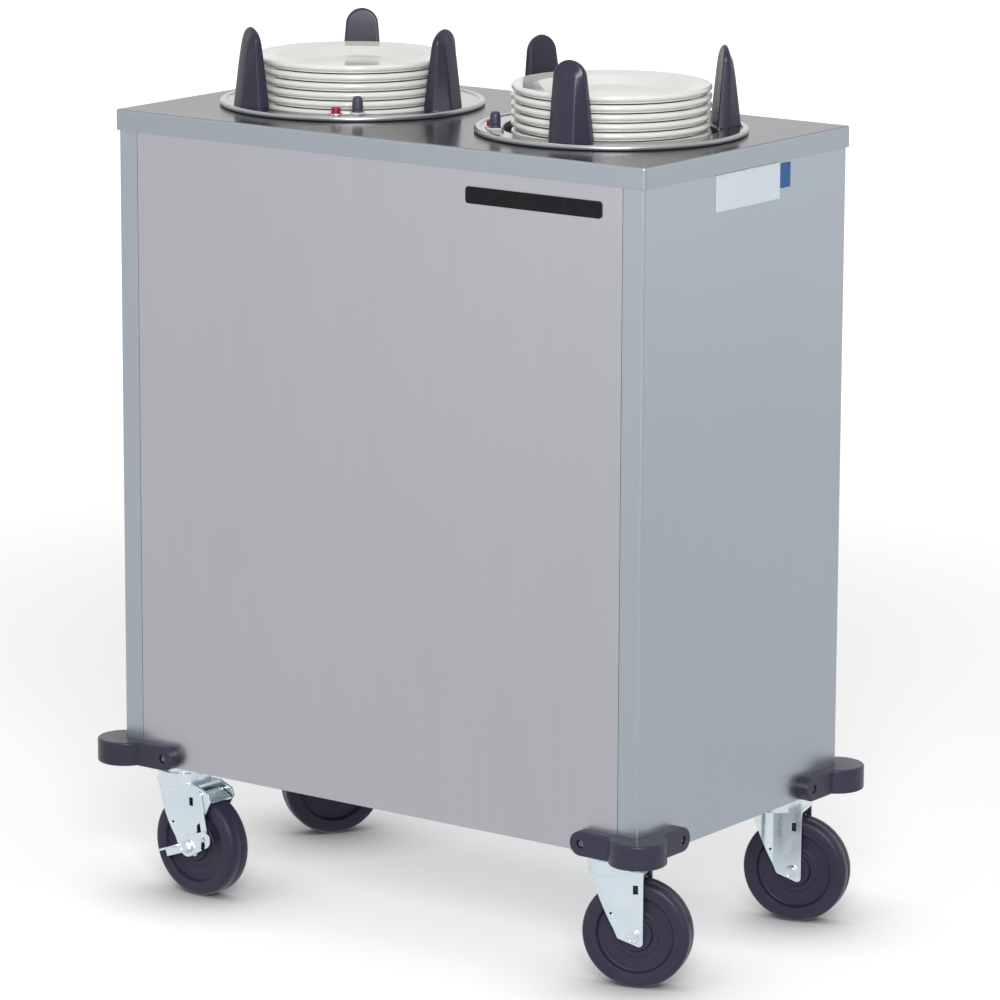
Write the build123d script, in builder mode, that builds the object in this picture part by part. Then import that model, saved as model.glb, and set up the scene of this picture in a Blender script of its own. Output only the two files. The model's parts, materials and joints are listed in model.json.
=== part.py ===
"""Heated two-silo plate dispenser cart, in millimetres.

The origin is on the floor under the middle of the cart. +X runs along its length, the front
panel faces -Y and +Z is up. Everything stands in the pose of the photograph.

Each silo hangs from its flange: three guide rods carry the silo base, a carrier with three
sleeves rides on the rods, and three extension springs lift it as plates are taken away.
"""

import os
from math import asin, cos, degrees, pi, radians, sin

from build123d import *

os.makedirs("parts", exist_ok=True)


def save(builder, name):
    """Label a finished piece and write it."""
    builder.part.label = name
    export_step(builder.part, f"parts/{name}.step")


# ------------------------------------------------------------------ cabinet
cap_length = 760.0
cap_depth = 418.5
cabinet_height = 791.0  # panel bottom edge to the cap's top
caster_height = 162.5  # floor to the mounting face of the casters
skirt_height = 24.5
cap_sheet = 1.5
cap_corner_radius = 5.0
cap_edge_radius = 2.5
cap_overhang = 3.0
panel_sheet = 1.2
corner_return = 28.0
return_lip = 10.5
corner_bend = 4.0
seam_gap = 0.6
lip_clearance = 1.0
pan_height = 30.0
pan_sheet = 1.5
rail_width = 101.5
rail_sheet = 2.5
rail_end_gap = 2.0

panel_bottom = caster_height
cap_top = panel_bottom + cabinet_height
cap_underside = cap_top - cap_sheet
body_length = cap_length - 2 * cap_overhang
body_depth = cap_depth - 2 * cap_overhang
inner_length = body_length - 2 * panel_sheet
inner_depth = body_depth - 2 * panel_sheet
panel_height = cap_underside - panel_bottom
pan_top = panel_bottom + pan_height
rail_top = pan_top - pan_sheet

# ------------------------------------------------------------------ silos
silo_spacing = 375.5
cap_hole_radius = 150.5
flange_radius = 158.0
flange_sheet = 1.2
flange_land = 5.2  # flat part of the flange above the cap
flange_roll = 3.3  # radius of the rolled rim
bead_width = 3.8
bead_slope = 1.3
mouth_radius = 123.0
mouth_round = 5.5
collar_depth = 21.0
tube_fit = 0.2
tube_wall = 1.2
silo_base_top = 268.0
silo_base_sheet = 3.0
silo_turn = {"left": 122.7, "right": 44.0}  # direction of the first guide post, degrees

rod_radius = 6.0
rod_ring_radius = 140.0  # radius of the circle that the guide rods stand on
rod_rivet_radius = 3.0  # turned-down end in the silo base
rod_foot_thickness = 3.0
rod_foot_width = 15.0
rod_angle = 25.0  # first guide post to the first guide rod, degrees
spring_angle = 10.0  # between a rod and the spring beside it, degrees
spring_radius = 7.0
spring_wire = 2.0

carrier_radius = 111.0
carrier_sheet = 2.5
carrier_drop = 42.5  # carrier face to the top of its arms
carrier_up = 36.0
carrier_down = 450.0
arm_thickness = 4.0
arm_width = 14.0
slot_clearance = 2.5
pedestal_radius = 52.0
pedestal_wall = 2.5
hub_radius = 58.0
hub_hole_radius = 38.0
vent_radius = 6.5
vent_ring_radius = 83.0
vent_count = 12
sleeve_radius = 9.5
sleeve_length = 141.0
sleeve_fit = 0.08
lug_thickness = 4.0

# ------------------------------------------------------------------ crockery
plate_radius = 115.5
plate_height = 23.5
plate_pitch = 10.6
plate_foot_height = 4.5
plate_foot_radius = 58.5
plate_foot_width = 5.5
plate_well_radius = 71.5
plate_rim_width = 22.5
plate_rim_round = 3.5
plate_step = 2.2  # set-back of the band under the rim
plate_step_height = 2.6
plate_rim_fall = 1.5  # rim's outer edge to its inner edge
plate_draft = 1.0
plate_count = 8
stack_proud = {"left": 60.2, "right": 56.4}  # top rim above the cap

# ------------------------------------------------------------------ guide posts
post_height = 93.0
post_inner_radius = 119.5
post_depth = 30.0
post_base_width = 51.0
post_top_width = 39.0
post_tip_radius = 132.0
post_side_depth = 12.5
post_side_depth_top = 8.5
post_panel_width = 23.0
post_tip_half = 5.0
post_tip_drop = 4.0
post_lean = 5.0  # inner side, foot to shoulder
post_screw_radius = 2.5
post_screw_length = 14.0
screw_fit = 0.1
post_screw_spread = 24.0

# ------------------------------------------------------------------ switch and lamp
control_ring_radius = 138.0  # radius of the circle that the switch and lamp sit on
switch_angle = 187.5
lamp_angle = 177.0
boot_radius = 6.6
boot_height = 12.0  # pivot to the centre of the boot's round tip
boot_gap = 0.5
nut_across = 18.0
nut_height = 4.2
nut_chamfer = 1.0
boot_base_cut = 0.44  # the boot's flat base below its pivot, as a share of its radius
switch_stem_radius = 5.6
switch_body = (15.0, 21.0, 25.0)
hole_clearance = 0.3
bezel_radius = 7.5
bezel_height = 2.4
lens_radius = 5.5
lens_height = 7.5
bezel_round = 1.0
bezel_floor = 0.8
lens_round = 2.5
lamp_stem_radius = 4.2
lamp_body_radius = 6.5
lamp_body_length = 24.0

# ------------------------------------------------------------------ heater and wiring
heater_ring_radius = 75.0
heater_tube = 4.0
heater_lift = 30.0
heater_leg_angle = 14.0
thermostat_size = (50.0, 36.0, 22.0)
thermostat_offset = 47.0
thermostat_round = 4.0
box_size = (60.0, 150.0, 62.0)
box_wall = 1.5
box_corner = 1.5
gland_inset = 95.0  # side of the body to the gland
gland_z = 238.0
gland_bore = 5.0
gland_thread = 10.0
gland_flange = 14.0
gland_out = 12.0
gland_in = 16.0
gland_nut_height = 5.0
gland_round = 3.0

# ------------------------------------------------------------------ plates and labels
badge_length = 187.0
badge_height = 19.3
badge_thickness = 1.6
badge_rim = 1.0
badge_rim_lift = 0.4
badge_corner = 4.0
badge_inset = 56.5  # side of the body to the badge's end
badge_drop = 52.7  # cap top to the badge's middle
label_length = 129.0
label_height = 42.3
label_thickness = 0.8
label_corner = 1.5
label_drop = 46.6
tag_length = 20.3
tag_height = 28.6
tag_gap = 1.1
tag_drop = 41.9

# ------------------------------------------------------------------ bumpers
bumper_height = 29.0
bumper_above = 27.3  # panel bottom edge to the bumper's top
bumper_arm = 84.7
bumper_thickness = 15.0
bumper_nose = 33.5
bumper_round = 2.5
bumper_screw_inset = 15.0
screw_head_radius = 4.5
screw_head_height = 2.4
screw_shank_radius = 2.4
screw_recess = 5.0
screw_shank_length = 6.0
rear_screw_gap = 37.0  # end of the bumper to the outer screw

# ------------------------------------------------------------------ casters
caster_inset_x = 62.1  # cap edge to the swivel axis
caster_inset_y = 42.8
caster_turn = {"front_left": -3.0, "front_right": 20.0, "rear_left": -125.0, "rear_right": 16.0}
braked = ("front_left", "rear_left")
wheel_radius = 63.5
wheel_width = 32.0
wheel_shoulder = 7.0
wheel_band = 47.0  # radius inside the flat side of the tread
wheel_web_recess = 6.5
wheel_boss_radius = 28.0
wheel_hub_radius = 19.0
sleeve_end_radius = 11.0
hub_step = 1.0
trail = 28.2
axle_radius = 5.0
axle_fit = 0.06
hub_gap = 0.6
fork_sheet = 3.0
fork_rib = 3.8
crown_sheet = 4.0
crown_top = 140.0
race_radius = 32.0
race_wall = 3.0
race_gap = 0.5
caster_plate = (89.5, 63.0, 5.0)
plate_hole_spacing = (70.5, 42.3)
bolt_radius = 4.0
bolt_head_radius = 6.5
bolt_head_height = 5.0
king_radius = 7.0
king_fit = 0.06
king_head_radius = 11.0
king_head_height = 4.5
race_plate_gap = 5.0
plate_corner = 6.0
leg_front = 25.4  # swivel axis to the leg's front edge at the crown
leg_rear = 11.3  # axle to the leg's rear edge
leg_toe = 18.8
leg_toe_drop = 3.3
leg_tip = 11.8
leg_corner = 4.7
rib_u = -7.5
rib_radius = 21.0
slot_place = (30.5, 119.0)  # from the swivel axis and the floor
slot_size = (6.1, 10.3)
vent_place = (2.0, 89.5)
leg_vent_radius = 1.5
axle_head_across = 15.0
axle_head_height = 5.2

# ------------------------------------------------------------------ wheel brake
ear_outline = ((0.0, -49.0), (9.5, -41.5), (22.5, -17.0), (19.0, -7.5))  # from the crown's rear
shoe_pivot = (44.2, 129.4)  # from the swivel axis and the floor
shoe_pin_radius = 2.0
shoe_barrel_radius = 3.0
shoe_half_width = 17.5
shoe_sheet = 2.5
shoe_length = 18.8
shoe_slope = 26.0
lever_sheet = 2.5
lever_gap = 0.4
lever_boss_height = 2.6
lever_boss_radius = 8.5
lever_hub_radius = 12.2
lobe_place = (26.8, 12.7)  # from the axle
lobe_radius = 10.3
link_sheet = 2.0
link_width = 9.0
link_pin_radius = 2.0
link_slot_radius = 3.0
link_slot_end = (25.6, 1.3)  # where the link pin stands when the brake is on
lever_arm = 36.5
lever_droop = 20.0  # arm below level, degrees
lever_arm_width = 11.3
pad_length = 23.5
pad_reach = 11.3


# ================================================================== cabinet
with BuildPart() as top_cap:
    with BuildSketch(Plane.XY.offset(cap_top - skirt_height)):
        Rectangle(cap_length, cap_depth)
    extrude(amount=skirt_height)
    fillet(top_cap.edges().filter_by(Axis.Z), cap_corner_radius)
    fillet(top_cap.faces().sort_by(Axis.Z)[-1].edges(), cap_edge_radius)
    with BuildSketch(Plane.XY.offset(cap_top - skirt_height)):
        RectangleRounded(
            cap_length - 2 * cap_sheet, cap_depth - 2 * cap_sheet, cap_corner_radius - cap_sheet
        )
    extrude(amount=skirt_height - cap_sheet, mode=Mode.SUBTRACT)
    with BuildSketch(Plane.XY.offset(cap_underside)):
        with GridLocations(silo_spacing, 0, 2, 1):
            Circle(cap_hole_radius)
    extrude(amount=cap_sheet, mode=Mode.SUBTRACT)
save(top_cap, "top_cap")

# Places of the bumper screws and of the rear panel's lower screws: plane and spot on it.
bumper_middle = panel_bottom + bumper_above - bumper_height / 2
bumper_screw_reach = bumper_arm - bumper_screw_inset
screw_planes = []
for side in (-1, 1):
    spot_x = body_length / 2 - bumper_screw_reach
    spot_y = body_depth / 2 - bumper_screw_reach
    for spot in (-1, 1):
        screw_planes.append(Plane((spot * spot_x, side * body_depth / 2, bumper_middle),
                                  z_dir=(0, side, 0)))
        screw_planes.append(Plane((side * body_length / 2, spot * spot_y, bumper_middle),
                                  z_dir=(side, 0, 0)))
rear_screw_reach = body_length / 2 - bumper_arm - rear_screw_gap
rear_screw_planes = []
for spot in (-1, -1 / 3, 1 / 3, 1):
    rear_screw_planes.append(Plane((spot * rear_screw_reach, body_depth / 2,
                                    panel_bottom + pan_height / 2), z_dir=(0, 1, 0)))
with BuildPart() as low_screw_holes:
    with BuildSketch(*screw_planes, *rear_screw_planes):
        Circle(screw_shank_radius + hole_clearance)
    extrude(amount=screw_shank_length, both=True)

# Side panels wrap the corners and end in lips that the front and rear panels are screwed to.
for side_name, side in (("left", -1), ("right", 1)):
    outer_x = side * body_length / 2
    inner_x = outer_x - side * panel_sheet
    return_x = outer_x - side * corner_return
    with BuildPart() as side_panel:
        with BuildSketch(Plane.XY.offset(panel_bottom)) as section:
            with Locations(((outer_x + return_x) / 2, 0)):
                Rectangle(corner_return, body_depth)
            fillet(section.vertices().sort_by(Axis.X)[-2:] if side > 0
                   else section.vertices().sort_by(Axis.X)[:2], corner_bend)
            with Locations(((inner_x + return_x) / 2, 0)):
                Rectangle(corner_return - panel_sheet, inner_depth, mode=Mode.SUBTRACT)
            inner_corners = section.vertices().filter_by_position(
                Axis.X, inner_x - 0.1, inner_x + 0.1
            )
            fillet(inner_corners, corner_bend - panel_sheet)
            lip_x = return_x + side * panel_sheet / 2
            with Locations((lip_x, inner_depth / 2), (lip_x, -inner_depth / 2)):
                Rectangle(panel_sheet, 2 * return_lip)
            Rectangle(body_length, body_depth, mode=Mode.INTERSECT)
        extrude(amount=panel_height)
        add(low_screw_holes.part, mode=Mode.SUBTRACT)
    save(side_panel, f"side_panel_{side_name}")

# Front and rear panels stand between the corner returns, with a lip along each upright edge.
gland_x = gland_inset - body_length / 2
end_panel_length = body_length - 2 * (corner_return + seam_gap)
for end_name, end in (("front", -1), ("rear", 1)):
    with BuildPart() as end_panel:
        with BuildSketch(Plane.XY.offset(panel_bottom)):
            with Locations((0, end * (body_depth - panel_sheet) / 2)):
                Rectangle(end_panel_length, panel_sheet)
            lip_x = (end_panel_length - panel_sheet) / 2
            lip_y = end * (body_depth - return_lip) / 2
            with Locations((lip_x, lip_y), (-lip_x, lip_y)):
                Rectangle(panel_sheet, return_lip)
        extrude(amount=panel_height)
        add(low_screw_holes.part, mode=Mode.SUBTRACT)
        if end > 0:
            with BuildSketch(Plane((gland_x, body_depth / 2, gland_z), z_dir=(0, 1, 0))):
                Circle(gland_thread + hole_clearance)
            extrude(amount=-panel_sheet, mode=Mode.SUBTRACT)
    save(end_panel, f"{end_name}_panel")

# Notches that let the panel lips pass the pan and the rails.
with BuildPart() as lip_notches:
    lip_middle = body_length / 2 - corner_return - seam_gap / 2
    notch_width = 2 * panel_sheet + seam_gap + 2 * lip_clearance
    notch_depth = return_lip + lip_clearance
    with BuildSketch(Plane.XY.offset(panel_bottom)):
        with GridLocations(2 * lip_middle, inner_depth, 2, 2):
            Rectangle(notch_width, 2 * notch_depth)
    extrude(amount=pan_height)

# The pan is an inverted tray inside the panels; the rails under it take the casters.
with BuildPart() as base_pan:
    with BuildSketch(Plane.XY.offset(panel_bottom)):
        RectangleRounded(inner_length, inner_depth, corner_bend - panel_sheet)
    extrude(amount=pan_height)
    with BuildSketch(Plane.XY.offset(panel_bottom)):
        Rectangle(inner_length - 2 * pan_sheet, inner_depth - 2 * pan_sheet)
    extrude(amount=pan_height - pan_sheet, mode=Mode.SUBTRACT)
    add(lip_notches.part, mode=Mode.SUBTRACT)
    add(low_screw_holes.part, mode=Mode.SUBTRACT)
save(base_pan, "base_pan")

swivel_x = cap_length / 2 - caster_inset_x
swivel_y = cap_depth / 2 - caster_inset_y
rail_length = inner_depth - 2 * pan_sheet - 2 * rail_end_gap
with BuildPart() as base_rails:
    for side in (-1, 1):
        with BuildSketch(Plane.XY.offset(panel_bottom)):
            with Locations((side * swivel_x, 0)):
                Rectangle(rail_width, rail_length)
        extrude(amount=rail_top - panel_bottom)
        hollow_x = side * (swivel_x - rail_sheet)
        with BuildSketch(Plane.XY.offset(panel_bottom + rail_sheet)):
            with Locations((hollow_x, 0)):
                Rectangle(rail_width, rail_length)
        extrude(amount=rail_top - panel_bottom - 2 * rail_sheet, mode=Mode.SUBTRACT)
    with BuildSketch(Plane.XY.offset(panel_bottom)):
        with GridLocations(2 * swivel_x, 2 * swivel_y, 2, 2):
            with GridLocations(*plate_hole_spacing, 2, 2):
                Circle(bolt_radius + hole_clearance)
    extrude(amount=rail_sheet, mode=Mode.SUBTRACT)
    add(lip_notches.part, mode=Mode.SUBTRACT)
save(base_rails, "base_rails")

# ================================================================== silos
# Masters stand on the silo axis with z = 0 at the cap's top and +X towards the first post.
silo_planes = {}
for side_name, side in (("left", -1), ("right", 1)):
    turn = radians(silo_turn[side_name])
    silo_planes[side_name] = Plane(
        (side * silo_spacing / 2, 0, cap_top), x_dir=(cos(turn), sin(turn), 0), z_dir=(0, 0, 1)
    )
silo_floor = silo_base_top - cap_top
flange_underside = flange_land - flange_sheet
tube_inner = mouth_radius + flange_sheet + tube_fit
post_screw_ring = (mouth_radius + mouth_round + post_inner_radius + post_depth) / 2
post_screw_spots = [(post_screw_ring, spot * post_screw_spread / 2) for spot in (-1, 1)]

with BuildPart() as flange_master:
    with BuildSketch(Plane.XZ):
        with BuildLine():
            roll_middle = flange_radius - flange_roll
            roll_top = 2 * flange_roll
            bead_start = roll_middle - bead_width
            mouth_middle = mouth_radius + mouth_round
            collar_outer = mouth_radius + flange_sheet
            mouth_low = flange_land - mouth_round
            Polyline(
                (mouth_radius, mouth_low),
                (mouth_radius, -collar_depth),
                (collar_outer, -collar_depth),
                (collar_outer, mouth_low),
            )
            CenterArc((mouth_middle, mouth_low), mouth_round, 90, 90)
            CenterArc((mouth_middle, mouth_low), mouth_round - flange_sheet, 90, 90)
            Polyline(
                (mouth_middle, flange_land),
                (bead_start - bead_slope, flange_land),
                (bead_start, roll_top),
                (roll_middle, roll_top),
            )
            Polyline(
                (mouth_middle, flange_underside),
                (bead_start - bead_slope, flange_underside),
                (bead_start, roll_top - flange_sheet),
                (roll_middle, roll_top - flange_sheet),
            )
            CenterArc((roll_middle, flange_roll), flange_roll, -90, 180)
            CenterArc((roll_middle, flange_roll), flange_roll - flange_sheet, -90, 180)
            Line((roll_middle, 0), (roll_middle, flange_sheet))
        make_face()
    revolve(axis=Axis.Z)
    with BuildSketch(Plane.XY.offset(flange_underside)):
        with PolarLocations(control_ring_radius, 1, start_angle=switch_angle):
            Circle(switch_stem_radius + hole_clearance)
        with PolarLocations(control_ring_radius, 1, start_angle=lamp_angle):
            Circle(lamp_stem_radius + hole_clearance)
        with PolarLocations(0, 3):
            with Locations(*post_screw_spots):
                Circle(post_screw_radius + hole_clearance)
    extrude(amount=flange_sheet, mode=Mode.SUBTRACT)

base_radius = rod_ring_radius + sleeve_radius
with BuildPart() as base_master:
    with BuildSketch(Plane.XY.offset(silo_floor)):
        Circle(base_radius)
        with PolarLocations(rod_ring_radius, 3, start_angle=rod_angle):
            Circle(rod_rivet_radius + screw_fit, mode=Mode.SUBTRACT)
    extrude(amount=-silo_base_sheet)

foot_bottom = flange_underside - rod_foot_thickness
spring_reach = 2 * rod_ring_radius * sin(radians(spring_angle / 2))
# The rods' lower ends are turned down, pass through the base and are riveted over.
with BuildPart() as rod_master:
    with BuildSketch(Plane.XY.offset(silo_floor)):
        with PolarLocations(rod_ring_radius, 3, start_angle=rod_angle):
            Circle(rod_radius)
    extrude(amount=flange_underside - silo_floor)
    with BuildSketch(Plane.XY.offset(silo_floor)):
        with PolarLocations(rod_ring_radius, 3, start_angle=rod_angle):
            Circle(rod_rivet_radius)
    extrude(amount=-silo_base_sheet)
    with BuildSketch(Plane.XY.offset(silo_floor - silo_base_sheet)):
        with PolarLocations(rod_ring_radius, 3, start_angle=rod_angle):
            Circle(screw_head_radius)
    extrude(amount=-screw_head_height)
    with BuildSketch(Plane.XY.offset(foot_bottom)):
        with PolarLocations(rod_ring_radius, 3, start_angle=rod_angle + spring_angle / 2):
            SlotCenterToCenter(spring_reach, rod_foot_width, rotation=90)
    extrude(amount=rod_foot_thickness)


def silo_tube(face):
    """Tube round the plates, slotted for the carrier's arms."""
    slot_width = arm_width + 2 * slot_clearance
    slot_top = face - carrier_drop + carrier_up + slot_clearance
    slot_bottom = face - carrier_drop - arm_thickness - carrier_down - slot_clearance
    with BuildPart() as tube:
        with BuildSketch(Plane.XY.offset(silo_floor)):
            Circle(tube_inner + tube_wall)
            Circle(tube_inner, mode=Mode.SUBTRACT)
        extrude(amount=-silo_floor + mouth_low)
        with BuildSketch(Plane.XY.offset(slot_bottom)):
            with PolarLocations(tube_inner, 3, start_angle=rod_angle):
                Rectangle(slot_width, slot_width)
        extrude(amount=slot_top - slot_bottom, mode=Mode.SUBTRACT)
    return tube.part


def carrier(face):
    """Plate carrier: face, pedestal, three arms and the sleeves that ride on the rods."""
    arms_top = face - carrier_drop
    sleeve_bottom = arms_top - sleeve_length
    with BuildPart() as lift:
        with BuildSketch(Plane.XY.offset(face)):
            Circle(carrier_radius)
            with PolarLocations(vent_ring_radius, vent_count):
                Circle(vent_radius, mode=Mode.SUBTRACT)
        extrude(amount=-carrier_sheet)
        with BuildSketch(Plane.XY.offset(arms_top)):
            Circle(pedestal_radius)
            Circle(pedestal_radius - pedestal_wall, mode=Mode.SUBTRACT)
        extrude(amount=carrier_drop - carrier_sheet)
        with BuildSketch(Plane.XY.offset(arms_top)):
            Circle(hub_radius)
            with PolarLocations(rod_ring_radius / 2, 3, start_angle=rod_angle):
                Rectangle(rod_ring_radius, arm_width)
            Circle(hub_hole_radius, mode=Mode.SUBTRACT)
        extrude(amount=-arm_thickness)
        with BuildSketch(Plane.XY.offset(arms_top)):
            with PolarLocations(rod_ring_radius, 3, start_angle=rod_angle):
                Circle(sleeve_radius)
        extrude(amount=-sleeve_length)
        with BuildSketch(Plane.XY.offset(sleeve_bottom)):
            with PolarLocations(rod_ring_radius, 3, start_angle=rod_angle + spring_angle / 2):
                SlotCenterToCenter(spring_reach, rod_foot_width, rotation=90)
        extrude(amount=lug_thickness)
        with BuildSketch(Plane.XY.offset(arms_top)):
            with PolarLocations(rod_ring_radius, 3, start_angle=rod_angle):
                Circle(rod_radius + sleeve_fit)
        extrude(amount=-sleeve_length, mode=Mode.SUBTRACT)
    return lift.part


def springs(face):
    """Envelopes of the extension springs, from the rod feet down to the sleeve lugs."""
    lug_top = face - carrier_drop - sleeve_length + lug_thickness
    with BuildPart() as coils:
        with BuildSketch(Plane.XY.offset(lug_top)):
            with PolarLocations(rod_ring_radius, 3, start_angle=rod_angle + spring_angle):
                Circle(spring_radius)
                Circle(spring_radius - spring_wire, mode=Mode.SUBTRACT)
        extrude(amount=foot_bottom - lug_top)
    return coils.part


# A plate stands on its foot at z = 0.
with BuildPart() as plate_master:
    with BuildSketch(Plane.XZ):
        with BuildLine():
            rim_middle = plate_radius - plate_rim_round
            rim_low = plate_height - 2 * plate_rim_round
            band_low = rim_low - plate_step_height
            band_out = rim_middle - plate_step
            rim_inner = plate_radius - plate_rim_width
            floor_top = plate_pitch
            foot_inner = plate_foot_radius - plate_foot_width
            well_under = plate_well_radius + plate_foot_height / 2
            Polyline(
                (rim_middle, rim_low),
                (band_out, rim_low),
                (band_out, band_low),
                (rim_inner, band_low - plate_rim_fall),
                (well_under, plate_foot_height),
                (plate_foot_radius + plate_draft, plate_foot_height),
                (plate_foot_radius, 0),
                (foot_inner, 0),
                (foot_inner - plate_draft, plate_foot_height),
                (0, plate_foot_height),
                (0, floor_top),
                (plate_well_radius - 2 * plate_draft, floor_top),
                (plate_well_radius + 2 * plate_draft, floor_top + plate_draft),
                (rim_inner - plate_draft, plate_height - 2 * plate_rim_fall),
                (rim_middle, plate_height),
            )
            CenterArc((rim_middle, plate_height - plate_rim_round), plate_rim_round, -90, 180)
        make_face()
    revolve(axis=Axis.Z)

# A guide post stands at +X on the flange's land; its flat inner side faces the plates.
with BuildPart() as post_master:
    outer_foot = post_inner_radius + post_depth
    half_base = post_base_width / 2
    half_top = post_top_width / 2
    shoulder = post_height - half_top
    outer_shoulder = outer_foot - (post_depth - post_side_depth) / 2
    with BuildSketch(Plane.XZ):
        with BuildLine():
            Line((post_inner_radius, 0), (outer_foot, 0))
            Line((outer_foot, 0), (outer_shoulder, shoulder - half_top / 2))
            tip_out = (post_tip_radius + post_tip_half, post_height - post_tip_drop)
            tip_in = (post_tip_radius - post_tip_half, post_height - post_tip_drop)
            bend_out = (outer_shoulder, shoulder - half_top / 2)
            bend_in = (post_inner_radius + post_lean, shoulder - half_top / 2)
            TangentArc(bend_out, tip_out, tangent=(outer_shoulder - outer_foot, bend_out[1]))
            ThreePointArc(tip_out, (post_tip_radius, post_height), tip_in)
            TangentArc(bend_in, tip_in, tangent=(post_lean, bend_in[1]))
            Line(bend_in, (post_inner_radius, 0))
        make_face()
    extrude(amount=half_base, both=True)
    with BuildSketch(Plane.YZ):
        with BuildLine():
            Polyline((-half_top, shoulder), (-half_base, 0), (half_base, 0), (half_top, shoulder))
            ThreePointArc((half_top, shoulder), (0, post_height), (-half_top, shoulder))
        make_face()
    extrude(amount=outer_foot, mode=Mode.INTERSECT)
    for side in (-1, 1):
        foot_corner = Vector(post_inner_radius + post_side_depth, side * half_base, 0)
        panel_corner = Vector(outer_foot, side * post_panel_width / 2, 0)
        top_corner = Vector(bend_in[0] + post_side_depth_top, side * half_top, shoulder)
        outward = (panel_corner - foot_corner).cross(top_corner - foot_corner) * -side
        split(bisect_by=Plane(foot_corner, z_dir=outward), keep=Keep.BOTTOM)
    with BuildSketch(Plane.XY):
        with Locations(*post_screw_spots):
            Circle(post_screw_radius)
    extrude(amount=post_screw_length, mode=Mode.SUBTRACT)

with BuildPart() as post_screw_master:
    with BuildSketch(Plane.XY.offset(flange_underside)):
        with PolarLocations(0, 3):
            with Locations(*post_screw_spots):
                Circle(screw_head_radius)
    extrude(amount=-screw_head_height)
    with BuildSketch(Plane.XY.offset(flange_underside)):
        with PolarLocations(0, 3):
            with Locations(*post_screw_spots):
                Circle(post_screw_radius - screw_fit)
    extrude(amount=post_screw_length)

# The controls stand on the flange's land; their stems pass through it.
switch_pivot = flange_land + nut_height
with BuildPart() as nut_master:
    with BuildSketch(Plane.XY.offset(flange_land)):
        with PolarLocations(control_ring_radius, 1, start_angle=switch_angle):
            RegularPolygon(nut_across / 2, 6, major_radius=False)
            Circle(boot_radius + boot_gap, mode=Mode.SUBTRACT)
    extrude(amount=nut_height)
    nut_face = nut_master.faces().sort_by(Axis.Z)[-1]
    chamfer(nut_face.outer_wire().edges(), nut_chamfer)

with BuildPart() as switch_master:
    with BuildSketch(Plane.XY.offset(flange_land)):
        with PolarLocations(control_ring_radius, 1, start_angle=switch_angle):
            Circle(switch_stem_radius)
    extrude(amount=-flange_sheet)
    with BuildSketch(Plane.XY.offset(flange_underside)):
        with PolarLocations(control_ring_radius, 1, start_angle=switch_angle):
            Rectangle(switch_body[0], switch_body[1])
    extrude(amount=-switch_body[2])

with BuildPart() as boot_master:
    with BuildSketch(Plane.XZ):
        with BuildLine():
            flat = boot_radius * boot_base_cut
            flat_radius = (boot_radius**2 - flat**2) ** 0.5
            low_angle = degrees(asin(boot_base_cut))
            Polyline((flat_radius, -flat), (0, -flat), (0, boot_height + boot_radius))
            CenterArc((0, boot_height), boot_radius, 0, 90)
            Line((boot_radius, boot_height), (boot_radius, 0))
            CenterArc((0, 0), boot_radius, -low_angle, low_angle)
        make_face()
    revolve(axis=Axis.Z)

with BuildPart() as bezel_master:
    with BuildSketch(Plane.XY.offset(flange_land)):
        with PolarLocations(control_ring_radius, 1, start_angle=lamp_angle):
            Circle(bezel_radius)
    extrude(amount=bezel_height)
    fillet(bezel_master.edges().group_by(Axis.Z)[-1], bezel_round)
    with BuildSketch(Plane.XY.offset(flange_land + bezel_floor)):
        with PolarLocations(control_ring_radius, 1, start_angle=lamp_angle):
            Circle(lens_radius + screw_fit)
    extrude(amount=bezel_height, mode=Mode.SUBTRACT)
    with BuildSketch(Plane.XY.offset(flange_land)):
        with PolarLocations(control_ring_radius, 1, start_angle=lamp_angle):
            Circle(lamp_stem_radius)
    extrude(amount=-flange_sheet)
    with BuildSketch(Plane.XY.offset(flange_underside)):
        with PolarLocations(control_ring_radius, 1, start_angle=lamp_angle):
            Circle(lamp_body_radius)
    extrude(amount=-lamp_body_length)

with BuildPart() as lens_master:
    with BuildSketch(Plane.XY.offset(flange_land + bezel_floor)):
        with PolarLocations(control_ring_radius, 1, start_angle=lamp_angle):
            Circle(lens_radius)
    extrude(amount=bezel_height - bezel_floor + lens_height)
    fillet(lens_master.edges().group_by(Axis.Z)[-1], lens_round)

with BuildPart() as heater_master:
    heater_z = silo_floor + heater_lift
    with BuildSketch(Plane.XZ):
        with Locations((heater_ring_radius, heater_z)):
            Circle(heater_tube)
    revolve(axis=Axis.Z)
    with BuildSketch(Plane.XY.offset(silo_floor)):
        with PolarLocations(heater_ring_radius, 2, angular_range=heater_leg_angle, endpoint=True):
            Circle(heater_tube)
    extrude(amount=heater_lift)

with BuildPart() as thermostat_master:
    with BuildSketch(Plane.XY.offset(silo_floor - silo_base_sheet)):
        with Locations((thermostat_offset, 0)):
            RectangleRounded(thermostat_size[0], thermostat_size[1], thermostat_round)
    extrude(amount=-thermostat_size[2])

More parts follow.
